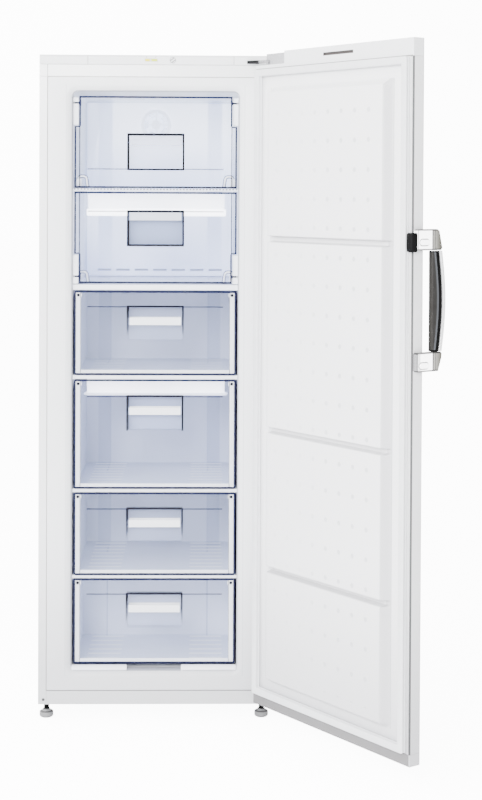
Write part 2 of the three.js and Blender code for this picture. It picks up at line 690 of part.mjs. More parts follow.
const atU = (u) => HALF_WIDTH - u;
const atV = (v) => -DOOR_GAP - v;
const doorBox = (u0, u1, v0, v1, z0, z1) => box(atU(u1), atU(u0), atV(v1), atV(v0), z0, z1);
const doorPlate = (outline, u0, u1) => (
  plate(outline.map(([v, z]) => [atV(v), z]), 'x', atU(u1), atU(u0)));
const doorWidth = 2 * HALF_WIDTH;

// The door's cross section, shrunk by `less`, from v0 outward.
function doorSection(less, v0) {
  const outline = new THREE.Shape();
  const half = HALF_WIDTH - less;
  const front = atV(DOOR_THICKNESS - less);
  const r = DOOR_ROUND - less;
  outline.moveTo(half, atV(v0));
  outline.lineTo(-half, atV(v0));
  outline.absarc(-half + r, front + r, r, Math.PI, 1.5 * Math.PI);
  outline.absarc(half - r, front + r, r, 1.5 * Math.PI, 2 * Math.PI);
  return outline;
}

const skinBottom = BOTTOM_CAP_TOP + GAP;
const skinTop = TOP_CAP_BOTTOM - GAP;
const rimWidth = GASKET_EDGE - GAP;
add(leaf, 'door_panel', cut(plate(doorSection(0, 0), 'z', skinBottom, skinTop), [
  plate(doorSection(SHEET, SHEET), 'z', skinBottom - 1, skinTop + 1),
  doorBox(rimWidth, doorWidth - rimWidth, -1, SHEET + 1, skinBottom - 1, skinTop + 1),
]), whiteSteel);

const riseHalf = HALF_WIDTH - 66;
const riseRun = 15;
const riseBottom = BOTTOM_CAP_TOP + 43;
const riseTop = TOP_CAP_BOTTOM - 47;
const grooveHeights = [1248, 771, 422];

// The raised middle of the door's inner side, set back by `less`. Three grooves
// cross it, nearly as deep as it is high.
function rise(less) {
  const inward = riseRun + less;
  const flat = new THREE.ExtrudeGeometry(
    roundRect(-riseHalf + inward, riseHalf - inward, riseBottom + inward, riseTop - inward, 6),
    { depth: 6, bevelThickness: PANEL_RISE, bevelSize: riseRun, bevelSegments: 1, curveSegments: 2 },
  );
  const floor = atV(less - 1);
  const mouth = atV(-PANEL_RISE - 2);
  const floorHalf = 5 + less;
  const mouthHalf = 8.5 + less;
  const grooves = grooveHeights.map((z) => plate([
    [floor, z - floorHalf], [mouth, z - mouthHalf], [mouth, z + mouthHalf], [floor, z + floorHalf],
  ], 'x', -HALF_WIDTH, HALF_WIDTH));
  return cut(solid(lay(flat, 'y', 0, atV(less))), grooves);
}

const linerSkin = 1.8;
const linerRoom = doorBox(0, doorWidth, -PANEL_RISE - 1, linerSkin, 0, CABINET_TOP);
add(leaf, 'door_liner', join([
  doorBox(GASKET_EDGE, doorWidth - GASKET_EDGE, 0, linerSkin, skinBottom + 0.5, skinTop - 0.5),
  rise(0),
]).subtract(rise(linerSkin)).intersect(linerRoom), whitePlastic);

const foamDeep = 8; // how far the raised part reaches into the rest of the core
add(leaf, 'door_foam', join([
  plate(doorSection(SHEET + GAP, linerSkin + GAP), 'z', skinBottom, skinTop),
  rise(linerSkin + GAP).intersect(
    doorBox(0, doorWidth, -PANEL_RISE - 1, foamDeep, 0, CABINET_TOP),
  ),
]), foam);

// The gasket's frame, shrunk by `less`, with a groove along its outer side.
const gasketFrame = (less, from, to) => plate(roundRect(
  -HALF_WIDTH + GASKET_EDGE + less, HALF_WIDTH - GASKET_EDGE - less,
  BOTTOM_CAP_TOP + 2 + less, TOP_CAP_BOTTOM - 1 - less, 5,
), 'y', from, to);
const gasketFace = -0.6;
add(leaf, 'door_gasket', cut(gasketFrame(0, atV(-GAP), gasketFace), [
  gasketFrame(GASKET_WIDTH, atV(1), 1),
  gasketFrame(-1, -8, -5).subtract(gasketFrame(2.5, -9, -4)),
]), gasketRubber);

// ---- door caps and hinge bushes --------------------------------------------

const recessFloor = DOOR_TOP - 31.5;
const recessFront = 33;
const bushRadius = 5;
const boreRadius = 3.5;
const indicatorSlot = [271.5, 382.4];
const indicatorTop = DOOR_TOP - 16;
const indicatorHigh = 5;
add(leaf, 'door_top_cap', cut(plate(doorSection(0, 0), 'z', TOP_CAP_BOTTOM, DOOR_TOP), [
  doorBox(-1, 118, -1, recessFront, recessFloor, DOOR_TOP + 1),
  cylinder('z', HINGE_X, HINGE_Y, TOP_CAP_BOTTOM - 1, recessFloor + 1, bushRadius + GAP),
  doorBox(
    indicatorSlot[0], indicatorSlot[1], -1, 2.5, indicatorTop - indicatorHigh, indicatorTop,
  ),
  doorBox(130, 584, 4, 30, TOP_CAP_BOTTOM - 1, TOP_CAP_BOTTOM + 12),
]), whitePlastic);

add(leaf, 'door_bottom_cap', cut(plate(doorSection(0, 0), 'z', DOOR_BOTTOM, BOTTOM_CAP_TOP), [
  cylinder('z', HINGE_X, HINGE_Y, DOOR_BOTTOM - 1, bushBottomTo + 0.5, bushRadius + GAP),
  doorBox(60, 584, 4, 30, DOOR_BOTTOM + 6, BOTTOM_CAP_TOP + 1),
]), whitePlastic);

const bush = (bottom, top) => cut(
  cylinder('z', HINGE_X, HINGE_Y, bottom, top, bushRadius),
  [cylinder('z', HINGE_X, HINGE_Y, bottom - 1, top + 1, boreRadius, 16)],
);
add(leaf, 'hinge_bush_top', bush(bushTopFrom, recessFloor), greyPlastic);
add(leaf, 'hinge_bush_bottom', bush(DOOR_BOTTOM, bushBottomTo), greyPlastic);

// ---- handle ----------------------------------------------------------------

const handleFrom = doorWidth + GAP; // u of the handle's seat on the door's free edge
const mountThick = 11.7;
const handleTo = handleFrom + mountThick;
const earFrom = handleFrom + 4;
const earTo = earFrom + 4;
const pivotV = 60;
const pivotZ = 990;
const pivotRadius = 3;
const mountUpper = [1235, 1283];
const mountLower = [960, 1004];
const mountStart = 4.5; // v of the upper mount's near side
const leverEnds = [mountLower[1] + 1.2, mountUpper[0] - 1.5];
const doorPin = (v, z, u0, u1, radius) => cylinder('x', atV(v), z, atU(u1), atU(u0), radius, 16);

add(leaf, 'handle_mount_upper', doorPlate([
  [mountStart, mountUpper[0] + 3], [mountStart, mountUpper[1] - 3], [7.5, mountUpper[1]],
  [64, mountUpper[1]], [71, 1279], [80, 1240], [76, mountUpper[0]], [7.5, mountUpper[0]],
], handleFrom, handleTo), chrome);

add(leaf, 'handle_mount_lower', join([
  doorPlate([
    [3, mountLower[0] + 4], [3, mountLower[1] - 4], [7, mountLower[1]], [76, mountLower[1]],
    [80, mountLower[1] - 4], [79, 990], [69, mountLower[0]], [7, mountLower[0]],
  ], handleFrom, handleTo).subtract(doorBox(earFrom - GAP, earTo + GAP, 46, 90, 978, 1010)),
  doorPin(pivotV, pivotZ, handleFrom + 1, handleTo - 1, pivotRadius),
]), chrome);

// Each screw is hidden under a flat cap with round ends.
const capSteps = 10;
const capOutline = (z) => [-1, 1].flatMap((side) => (
  Array.from({ length: capSteps }, (_, i) => {
    const turn = side * Math.PI * (0.5 - i / (capSteps - 1));
    return [25 + side * (7.5 + 6 * Math.cos(turn)), z - 6 * Math.sin(turn)];
  })));
for (const [name, z] of [['screw_cap_upper', 1253], ['screw_cap_lower', 974]]) {
  add(leaf, name, doorPlate(capOutline(z), handleTo + GAP, handleTo + 2.6), greyPlastic);
}

// The lever between the mounts bows outward; its ear turns on the lower mount's pin.
const lever = new THREE.Group();
leaf.add(lever);
const leverU = [handleFrom - 2, handleTo + 2];
const bow = (v, depth) => Array.from({ length: 13 }, (_, i) => {
  const t = i / 12;
  return [v + depth * Math.sin(Math.PI * t), leverEnds[0] + (leverEnds[1] - leverEnds[0]) * t];
});
const gripInside = 48.5;
const gripOutside = 69;
const gripBow = 10.5;
const barOutside = 80;
add(lever, 'handle_grip', join([
  doorPlate([
    ...bow(gripOutside, gripBow).reverse(), [gripInside + 3, leverEnds[0]],
    [gripInside, leverEnds[0] + 5], [gripInside, leverEnds[1] - 5], [gripInside + 3, leverEnds[1]],
  ], leverU[0], leverU[1]),
  doorBox(earFrom, earTo, 53, 67, 983, leverEnds[0] + 5),
]).subtract(doorPin(pivotV, pivotZ, earFrom - 1, earTo + 1, pivotRadius + 0.4)), darkGrip);

add(lever, 'handle_bar', doorPlate([
  ...bow(barOutside, gripBow + 0.5).reverse(), ...bow(gripOutside + GAP, gripBow),
], leverU[0], leverU[1]), chrome);

// The pusher stands before the upper mount and reaches in over the door's edge.
const pusherIn = doorWidth - 2;
add(leaf, 'pusher', plate([
  [handleFrom, mountStart - 0.4], [handleTo, mountStart - 0.4], [handleTo, -9], [handleTo - 3, -12.5],
  [pusherIn + 3, -12.5], [pusherIn, -9.5], [pusherIn, -2 * GAP], [handleFrom, -2 * GAP],
].map(([u, v]) => [atU(u), atV(v)]), 'z', 1231, 1275), blackPlastic);

// ---- frame -----------------------------------------------------------------

// The origin is under the middle of everything, on the floor.
const extent = new THREE.Box3().setFromObject(freezer);
const middle = extent.getCenter(new THREE.Vector3());
cabinet.position.set(-middle.x, -middle.y, -extent.min.z);

export default freezer;
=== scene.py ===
# %% [markdown]
# # An upright freezer with its door open
# The shape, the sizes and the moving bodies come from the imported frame, and this
# script gives them their looks. Every length is in metres, +Z is up, and the front
# of the cabinet faces -Y.

# %% Load the frame
import json
import math

import bpy
import numpy as np
from mathutils import Matrix, Vector


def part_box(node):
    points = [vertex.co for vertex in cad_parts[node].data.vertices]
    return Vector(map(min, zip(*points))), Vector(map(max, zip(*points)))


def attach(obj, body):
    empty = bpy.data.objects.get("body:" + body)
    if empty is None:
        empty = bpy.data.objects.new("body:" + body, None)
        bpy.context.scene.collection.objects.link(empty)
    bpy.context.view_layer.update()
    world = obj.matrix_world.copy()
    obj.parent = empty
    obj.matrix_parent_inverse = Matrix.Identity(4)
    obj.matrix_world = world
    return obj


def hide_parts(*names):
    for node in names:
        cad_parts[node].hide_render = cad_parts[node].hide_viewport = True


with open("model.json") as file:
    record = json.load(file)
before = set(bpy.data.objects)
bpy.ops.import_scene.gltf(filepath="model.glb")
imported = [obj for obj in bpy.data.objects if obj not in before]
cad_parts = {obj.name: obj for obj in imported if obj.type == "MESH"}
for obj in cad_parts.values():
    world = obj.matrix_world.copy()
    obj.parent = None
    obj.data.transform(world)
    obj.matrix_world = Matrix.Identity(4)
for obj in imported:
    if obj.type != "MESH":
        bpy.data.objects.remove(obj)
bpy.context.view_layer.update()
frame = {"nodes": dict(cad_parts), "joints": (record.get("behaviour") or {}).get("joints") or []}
nodes = frame["nodes"]

# %% [markdown]
# ## Where things are
# Every place is worked out from the frame's boxes. The cabinet's middle and front
# come from its steel shell. The door hangs on a pin at an angle, so its own flat
# directions are found by turning about that pin.

# %% Main places
shell_low, shell_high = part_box("outer_shell")
middle_x = (shell_low.x + shell_high.x) / 2
front_y = shell_low.y
half_width = (shell_high.x - shell_low.x) / 2
door_joint = next(j for j in frame["joints"] if j["name"] == "door_swing")
pin = Vector(door_joint["pos_m"])
door_angle = math.radians(-door_joint["range_deg"][0])
door_gap = 0.014
pin_from_edge = middle_x + half_width - pin.x
pin_depth = front_y - door_gap - pin.y
SIDES = (("left", -1), ("right", 1))
DOOR_MIDDLE_U = 0.2975  # halfway across the door
LINER_MIDDLE_Z = 0.88  # halfway up its liner
GROOVES_Z = (1.248, 0.771, 0.422)  # the liner's stiffening grooves
print("door stands open", round(math.degrees(door_angle), 2), "degrees")


def door_point(u, v, z):
    """A point on the open door: u from its hinge edge, v outward from its inner face.
    The closed place is turned about the pin by the door's angle."""
    x = np.asarray(pin_from_edge - u, float)
    y = np.asarray(pin_depth - v, float)
    c, s = math.cos(door_angle), math.sin(door_angle)
    z = np.asarray(z, float)
    return np.stack(np.broadcast_arrays(pin.x + c * x - s * y, pin.y + s * x + c * y, z), -1)


def door_place(point):
    """u, v and z of a point on the open door, the opposite of door_point."""
    c, s = math.cos(door_angle), math.sin(door_angle)
    x, y = point.x - pin.x, point.y - pin.y
    return pin_from_edge - (x * c + y * s), pin_depth - (y * c - x * s), point.z


def cabinet_point(x, y, z):
    """A point of the cabinet: x from its middle, y back from its front, z up."""
    x = np.asarray(x, float) + middle_x
    y = np.asarray(y, float) + front_y
    return np.stack(np.broadcast_arrays(x, y, np.asarray(z, float)), -1)


# %% [markdown]
# ## Camera
# The photograph was taken with a long lens, from the height of the upper flap, and
# its frame was moved down without tilting the lens, so the upright lines stay upright.
# A lens shift does the same here. The numbers come from fitting the photograph's edges.

# %% Camera
PHOTO_WIDTH = 482
PHOTO_HEIGHT = 800
FOCAL_PIXELS = 1672.0
OPTICAL_CENTRE_Y = 219.9
CAMERA_TURN = (1.174, -1.025, -0.268)  # yaw, pitch and roll in degrees
CAMERA_PLACE = (0.1318, -4.292, 1.3695)  # from the cabinet's middle, its front and the floor
camera_data = bpy.data.cameras.new("camera")
camera_data.sensor_fit = "HORIZONTAL"
camera_data.sensor_width = 36.0
camera_data.lens = FOCAL_PIXELS / PHOTO_WIDTH * camera_data.sensor_width
camera_data.shift_y = -(PHOTO_HEIGHT / 2 - OPTICAL_CENTRE_Y) / PHOTO_WIDTH
camera_data.clip_end = 60.0
camera = bpy.data.objects.new("camera", camera_data)
bpy.context.scene.collection.objects.link(camera)
yaw, pitch, roll = (math.radians(a) for a in CAMERA_TURN)
ahead = Vector((math.sin(yaw) * math.cos(pitch), math.cos(yaw) * math.cos(pitch), math.sin(pitch)))
level_right = Vector((math.cos(yaw), -math.sin(yaw), 0))
level_up = level_right.cross(ahead)
right = level_right * math.cos(roll) - level_up * math.sin(roll)
up = level_up * math.cos(roll) + level_right * math.sin(roll)
camera_at = Vector(CAMERA_PLACE) + Vector((middle_x, front_y, 0))
camera_turn = Matrix((right, up, -ahead)).transposed().to_4x4()
camera.matrix_world = Matrix.Translation(camera_at) @ camera_turn
bpy.context.scene.camera = camera
print("lens", round(camera_data.lens, 1), "mm, shift", round(camera_data.shift_y, 4))

# %% [markdown]
# ## Writing shaders as sums
# A finish is easiest to read as arithmetic: "noise times a little, plus the base".
# The class Value wraps a socket so that +, -, * and / on it add Math nodes, and
# NodeTree makes every other node from its type, its settings and its inputs.


# %% Shader arithmetic
class Value:
    """One number that varies over a surface. Arithmetic on it adds Math nodes."""

    def __init__(self, maker, socket):
        self.maker = maker
        self.socket = socket

    def math(self, operation, *others):
        inputs = dict(enumerate((self, *others)))
        node = self.maker.node("ShaderNodeMath", {"operation": operation}, inputs)
        return Value(self.maker, node.outputs[0])

    def __add__(self, other):
        return self.math("ADD", other)

    def __sub__(self, other):
        return self.math("SUBTRACT", other)

    def __mul__(self, other):
        return self.math("MULTIPLY", other)

    def __truediv__(self, other):
        return self.math("DIVIDE", other)

    def __rsub__(self, other):
        return (self * -1.0) + other

    def __abs__(self):
        return self.math("ABSOLUTE")

    __radd__ = __add__
    __rmul__ = __mul__


def largest(*values):
    """The greatest of several masks."""
    top = values[0]
    for value in values[1:]:
        top = top.math("MAXIMUM", value)
    return top


def length(across, along):
    """The distance of a point from the origin, by Pythagoras."""
    return (across * across + along * along).math("SQRT")


class NodeTree:
    """Makes the nodes of one tree. They lead to its shader, which is there already."""

    def __init__(self, tree, shader):
        self.tree = tree
        self.shader = tree.nodes[shader]

    def node(self, kind, settings=None, inputs=None):
        """A node of this type: settings first, then numbers or links for its sockets."""
        made = self.tree.nodes.new(kind)
        for key, value in (settings or {}).items():
            setattr(made, key, value)
        for key, value in (inputs or {}).items():
            self.feed(made.inputs[key], value)
        return made

    def feed(self, socket, value):
        """A number, a colour or a link into a socket, or into the shader's by its name."""
        if isinstance(socket, str):
            socket = self.shader.inputs[socket]
        if isinstance(value, Value):
            value = value.socket
        if isinstance(value, bpy.types.NodeSocket):
            self.tree.links.new(value, socket)
        elif isinstance(value, tuple) and socket.type == "RGBA":
            socket.default_value = (*value, 1)
        else:
            socket.default_value = value

    def split(self, vector):
        """The three parts of a vector, as values."""
        parts = self.node("ShaderNodeSeparateXYZ", inputs={0: vector}).outputs
        return [Value(self, part) for part in parts]

    def looked_at(self):
        """1 where a surface is looked at, and 0 where it lights others."""
        return Value(self, self.node("ShaderNodeLightPath").outputs["Is Camera Ray"])

    def ramp(self, value, low, high, first=0.0, last=1.0):
        """First below low, last above high, smooth between (low may be the larger one)."""
        made = self.node("ShaderNodeMapRange", {"interpolation_type": "SMOOTHSTEP"}, {
            "Value": value, "From Min": low, "From Max": high, "To Min": first, "To Max": last})
        return Value(self, made.outputs[0])


class Finish(NodeTree):
    """A material with one Principled shader, built node by node."""

    def __init__(self, name, **constants):
        self.material = bpy.data.materials.new(name)
        self.material.use_nodes = True
        super().__init__(self.material.node_tree, "Principled BSDF")
        for socket, value in constants.items():
            self.feed(socket.replace("_", " "), value)

    def place(self):
        """Object coordinates, which are the row frame's metres."""
        return self.node("ShaderNodeTexCoord").outputs["Object"]

    def xyz(self):
        """The three coordinates as values."""
        return self.split(self.place())

    def cabinet(self):
        """Distance to either side of the cabinet's middle, depth from its front, height."""
        x, y, z = self.xyz()
        return abs(x - middle_x), y - front_y, z

    def door(self):
        """u, v and height on the open door, undoing its turn about the pin."""
        x, y, z = self.xyz()
        c, s = math.cos(door_angle), math.sin(door_angle)
        closed_x = (x - pin.x) * c + (y - pin.y) * s
        closed_y = (y - pin.y) * c - (x - pin.x) * s
        return pin_from_edge - closed_x, pin_depth - closed_y, z

    def noise(self, scale, detail=2.0, stretch=(1, 1, 1), rough=0.5):
        """Soft patches about 1 / scale metres across, with finer ones in them by detail."""
        at = self.node("ShaderNodeMapping", inputs={"Vector": self.place(), "Scale": stretch})
        made = self.node("ShaderNodeTexNoise", inputs={
            "Vector": at.outputs[0], "Scale": scale, "Detail": detail, "Roughness": rough})
        return Value(self, made.outputs["Fac"])

    def band(self, value, centre, half, soft):
        """1 within half of centre, falling to 0 over soft."""
        return self.ramp(abs(value - centre), half + soft, half)

    def mix(self, amount, first, second):
        """Colour first where amount is 0 and second where it is 1."""
        made = self.node("ShaderNodeMix", {"data_type": "RGBA"}, {0: amount, 6: first, 7: second})
        return made.outputs[2]

    def low_shade(self, z, colour, shade):
        """The colour, greyer from 0.55 m down, where the light from above fades."""
        return self.mix(self.ramp(z, 0.55, 0.02), colour, shade)

    def coat(self, colour, roughness, height, distance, edge=0.0, on=()):
        """Colour and gloss, and a surface raised by height times distance in metres. Edge
        rounds the sharp edges' shading, and the CAD nodes named in on get the finish."""
        inputs = {"Height": height, "Distance": distance, "Strength": 1.0}
        if edge:
            inputs["Normal"] = self.node(
                "ShaderNodeBevel", {"samples": 4}, {"Radius": edge}).outputs[0]
        bumped = self.node("ShaderNodeBump", inputs=inputs)
        self.feed("Base Color", colour)
        self.feed("Roughness", roughness)
        self.feed("Normal", bumped.outputs[0])
        for name in on:
            mesh = nodes[name].data
            mesh.materials.clear()
            mesh.materials.append(self.material)


def plain_finish(name, dark, light, roughness, grain_scale, grain_height, on=(), **constants):
    """A finish whose colour and gloss wander a little, with a fine grain."""
    look = Finish(name, **constants)
    grain = look.noise(grain_scale)
    look.coat(look.mix(look.noise(35, 3), dark, light), roughness + grain * 0.15,
              grain, grain_height, 0.0008, on)
    return look


print("shader tools ready")

# %% [markdown]
# ## Painted steel
# The shell, the plinth and the door's outside are sheet steel with baked enamel.
# Enamel is never quite flat: it has a fine orange-peel ripple, and the sheet itself
# bends very slightly, which the reflections show. Two noises of very different
# scale give both, and the edges are rounded in the shading as folded steel is.

# %% Enamelled steel
steel = Finish("white_enamelled_steel", Coat_Weight=0.25, Coat_Roughness=0.12)
side, depth, z = steel.cabinet()
wave = steel.noise(3.0, 1)
flange_line = steel.band(side, 0.2768, 0.0007, 0.0007) * steel.ramp(z, 0.076, 0.080)
flange_line = flange_line * (steel.ramp(z, 1.30, 1.60) * 0.35 + 0.5)
plinth_line = steel.band(z, 0.0785, 0.0012, 0.0005) * steel.ramp(side, 0.2770, 0.2760)
bar_line = steel.band(z, 1.6582, 0.0007, 0.0006)
front_lines = largest(flange_line, plinth_line * 0.8, bar_line * 0.5)
front_lines = front_lines * steel.ramp(depth, 0.0026, 0.0018)
enamel = steel.mix(wave, (0.80, 0.81, 0.825), (0.86, 0.87, 0.88))
enamel = steel.low_shade(z, enamel, (0.54, 0.545, 0.56))
steel.coat(steel.mix(front_lines, enamel, (0.10, 0.10, 0.11)), 0.26 + steel.noise(40, 3) * 0.08,
           steel.noise(900) * 0.15 + wave, 0.0006, 0.0012,
           ("outer_shell", "front_plinth", "back_panel"))

panel = Finish("door_enamelled_steel", Coat_Weight=0.25, Coat_Roughness=0.12)
u, v, z = panel.door()
wave = panel.noise(3.0, 1)
inner_face = panel.ramp(v, 0.0022, 0.0012)
fold_line = panel.ramp(u, 0.5903, 0.5911) * panel.ramp(v, 0.0034, 0.0026)
cap_line = panel.ramp(z, 1.6715, 1.6725) * inner_face
second_line = panel.band(u, 0.5868, 0.0008, 0.0010) * inner_face
seam = largest(fold_line, cap_line * 0.7, second_line * 0.35)
enamel = panel.mix(wave, (0.76, 0.765, 0.78), (0.82, 0.825, 0.835))
enamel = panel.low_shade(z, enamel, (0.56, 0.56, 0.58))
panel.feed("Coat Weight", (1 - seam) * 0.25)
panel.coat(panel.mix(seam * 0.93, enamel, (0.04, 0.04, 0.042)),
           largest(0.26 + panel.noise(40, 3) * 0.08, seam * 0.9),
           panel.noise(900) * 0.15 + wave, 0.0006, 0.0012, ("door_panel",))
print("steel on the shell, plinth, door and back")

# %% [markdown]
# ## Formed plastic
# The liner is one sheet of white plastic drawn into a mould, with a soft sheen and
# a very fine grain. Thin darker lines at the bends of its mouth are painted shade,
# and the notch in its sill is in shade.

# %% Liner plastic
liner = Finish("formed_liner_plastic")
side, depth, z = liner.cabinet()
grain = liner.noise(1400)
# Painted shade: darker lines at the bends of the mouth and along its flare.
mouth_shade_line = liner.band(depth, 0.0128, 0.0018, 0.0025) * 0.75
flare_shade_line = liner.band(side, 0.2286, 0.0006, 0.0012) * liner.ramp(depth, 0.004, 0.002)
flare_shade_line = flare_shade_line * liner.band(z, 0.8763, 0.760, 0.002) * 0.22
notch = liner.ramp(side, 0.0700, 0.0690) * liner.band(z, 0.1335, 0.0060, 0.0010)
notch = notch * liner.ramp(depth, 0.030, 0.020)
sheet_white = liner.mix(liner.noise(6), (0.80, 0.815, 0.84), (0.86, 0.87, 0.89))
sheet_white = liner.low_shade(z, sheet_white, (0.58, 0.585, 0.61))
sheet_white = liner.mix(largest(mouth_shade_line, flare_shade_line), sheet_white, (0.30, 0.31, 0.37))
liner.coat(liner.mix(notch * 0.85, sheet_white, (0.22, 0.23, 0.28)), 0.34 + grain * 0.1,
           grain, 0.00012, 0.003, ("inner_liner",))
print("liner plastic")

# %% [markdown]
# The duct panel behind the clear flaps glows with painted light: an emission stands
# in for the light that soaks in through the flaps, dimmer lower down. Painted shadow
# makes it bluer where the plastic's ribs stand in front of it and along their edges,
# and dimmer in the upper left corner, which the left wall shades.

# %% Glowing duct and fan
duct = Finish("cold_air_duct_plastic", Emission_Strength=1.0)
x, _, z = duct.xyz()
side = abs(x - middle_x)
# Painted shadow: bluer bands where the ribs stand in front, lines along their edges, and the upper
# left corner that the left wall shades.
rib_shade = duct.band(side, 0.1540, 0.0160, 0.0080)
rib_edge = duct.band(side, 0.1930, 0.0012, 0.0012)
corner = duct.ramp(x - middle_x + 0.162 + (1.60 - z) * 0.17, 0.0020, -0.0020)
corner = corner * duct.ramp(z, 1.40, 1.50)
upper_glow = duct.mix(duct.ramp(z, 1.38, 1.56), (0.60, 0.78, 1.42), (1.90, 2.03, 2.40))
lower_glow = duct.mix(duct.ramp(z, 1.13, 1.34), (0.38, 0.52, 1.12), (1.5, 1.65, 2.1))
glow = duct.mix(duct.ramp(z, 1.372, 1.368), upper_glow, lower_glow)
glow = duct.mix(rib_shade * 0.75, glow, (0.36, 0.50, 1.05))
glow = duct.mix(largest(corner * 0.8, rib_edge * 0.5), glow, (0.55, 0.66, 1.05))
duct.feed("Emission Color", glow)
grain = duct.noise(1400)
duct.coat(duct.mix(duct.noise(6), (0.74, 0.77, 0.84), (0.80, 0.83, 0.89)),
          0.34 + grain * 0.1, grain, 0.00012, 0.002, ("duct_panel",))

# Painted light: the fan's guard, motor and blade glow pale blue by an emission.
fan_white = Finish("fan_plastic", Emission_Strength=0.8, Emission_Color=(1.70, 1.83, 2.20))
fan_white.coat(fan_white.mix(fan_white.noise(40), (0.62, 0.65, 0.73), (0.70, 0.73, 0.80)),
               0.4 + fan_white.noise(900) * 0.1, fan_white.noise(1400), 0.0001, 0.0,
               ("fan_guard", "fan_motor", "fan_blade"))
print("duct panel and fan")

# %% [markdown]
# The strip above the cavity has two seams, a fold line and two small marks beside
# the lamp window. The knob has a slot for a coin, turned by a tenth of a circle.

# %% Trim and knob
trim = Finish("moulded_white_trim")
x, y, z = trim.xyz()
grain = trim.noise(1100)
fold_line = trim.band(z, 1.6896, 0.0008, 0.0006) * 0.55
seams = largest(*[trim.band(x, middle_x + at, 0.0007, 0.0006) for at in (-0.174, 0.2)], fold_line)
seams = seams * trim.ramp(y - front_y, 0.004, 0.002)
signs = largest(*[trim.band(x, middle_x + at, 0.0016, 0.0004) for at in (-0.0240, -0.0005)])
signs = signs * trim.band(z, 1.7085, 0.0010, 0.0003)
trim_white = trim.mix(trim.noise(9), (0.80, 0.81, 0.83), (0.87, 0.88, 0.9))
trim.coat(trim.mix(largest(seams * 0.45, signs * 0.6), trim_white, (0.16, 0.16, 0.17)),
          0.38 + grain * 0.1, grain, 0.0001, 0.0015, ("control_panel", "top_panel"))

KNOB_X, KNOB_Z = 0.0435, 1.701  # off the cabinet's middle, and up
SLOT_TURN = math.pi / 5
knob = Finish("white_slotted_knob")
x, y, z = knob.xyz()
across, rise = x - (middle_x + KNOB_X), z - KNOB_Z
slot_cos, slot_sin = math.cos(SLOT_TURN), math.sin(SLOT_TURN)
along_slot = across * slot_cos + rise * slot_sin
off_slot = abs(rise * slot_cos - across * slot_sin)
slot = largest(knob.band(off_slot, 0.0032, 0.0011, 0.0005),
               knob.ramp(length(along_slot, off_slot), 0.0062, 0.0070))
slot = slot * knob.ramp(y - front_y, 0.003, 0.001)
knob.coat(knob.mix(slot, (0.86, 0.87, 0.88), (0.22, 0.22, 0.23)), 0.36 + knob.noise(900) * 0.1,
          knob.noise(1000), 0.0001, 0.0006, ("thermostat_knob",))
print("trim and knob")

# %% [markdown]
# ## The door's inner side
# The door's liner carries a pattern of shallow round dimples, painted darker as
# painted shade in them, more so toward the free edge. The side of its raised middle
# toward the free edge is painted greyer, and dark lines along its grooves and its foot
# are painted shade too. The dimples are too shallow to model as a surface, so they are
# a bump that repeats: the fraction of u over the pitch gives the distance to the
# nearest dimple.

# %% Dimpled door liner
DIMPLE_PITCH = (0.0495, 0.0695)  # along u and along z
DIMPLE_START = (0.106, 0.097)  # where the rows begin, as a fraction of the pitch
door_liner = Finish("dimpled_door_liner")
u, _, z = door_liner.door()
from_middle_u = abs(u - DOOR_MIDDLE_U)
across, along = (((at / pitch + start).math("FRACT") - 0.5) * pitch
                 for at, pitch, start in zip((u, z), DIMPLE_PITCH, DIMPLE_START))
dimples = door_liner.ramp(length(across, along), 0.0075, 0.0035)
dimples = dimples * door_liner.ramp(from_middle_u, 0.207, 0.205)
dimples = dimples * door_liner.band(z, LINER_MIDDLE_Z, 0.71, 0.002)
dimples = dimples * (door_liner.ramp(u, 0.20, 0.36) * 0.75 + 0.25)
# Painted shade: the raised middle's side toward the free edge is painted greyer.
flank = door_liner.band(u, 0.5215, 0.0070, 0.0020)
flank = flank * door_liner.band(z, LINER_MIDDLE_Z, 0.745, 0.004)
# Painted shade: dark lines along the grooves and at the foot of the raised middle.
groove_shade = largest(*[door_liner.band(abs(z - at), 0.0062, 0.0010, 0.0012) for at in GROOVES_Z])
groove_shade = groove_shade * door_liner.ramp(from_middle_u, 0.224, 0.222)
foot_line_shade = largest(*[door_liner.band(u, at, 0.0006, 0.0012) for at in (0.0665, 0.5295)])
foot_line_shade = foot_line_shade * door_liner.band(z, LINER_MIDDLE_Z, 0.745, 0.002)
white_sheet = door_liner.mix(flank * 0.9, (0.91, 0.91, 0.925), (0.58, 0.58, 0.60))
white_sheet = door_liner.low_shade(z, white_sheet, (0.62, 0.62, 0.64))
liner_shade_lines = largest(groove_shade * 0.45, foot_line_shade * 0.4)
white_sheet = door_liner.mix(liner_shade_lines, white_sheet, (0.30, 0.30, 0.32))
grain = door_liner.noise(1200)
# Painted shade: the dimples are painted darker, besides their bump.
door_liner.coat(door_liner.mix(dimples * 0.6, white_sheet, (0.50, 0.51, 0.54)), 0.3 + grain * 0.1,
                dimples * -1.0 + grain * 0.08, 0.0006, 0.003, ("door_liner",))

cap = Finish("door_cap_plastic")
u, v, z = cap.door()
lamp_slot = cap.band(u, 0.32695, 0.0558, 0.0004) * cap.band(z, 1.697, 0.0037, 0.0003)
lamp_slot = lamp_slot * cap.ramp(v, 0.0045, 0.0035)
recess = cap.ramp(u, 0.1184, 0.1176) * cap.ramp(v, 0.0300, 0.0325)
edge_line = cap.ramp(z, 1.6764, 1.6756) * cap.ramp(v, 0.004, 0.003)
edge_line = edge_line * cap.band(u, DOOR_MIDDLE_U, 0.2945, 0.001)
drip_mark = cap.band(u, 0.464, 0.0050, 0.0010) * cap.band(z, 0.0655, 0.0016, 0.0005)
drip_mark = drip_mark * cap.ramp(v, 0.003, 0.002)
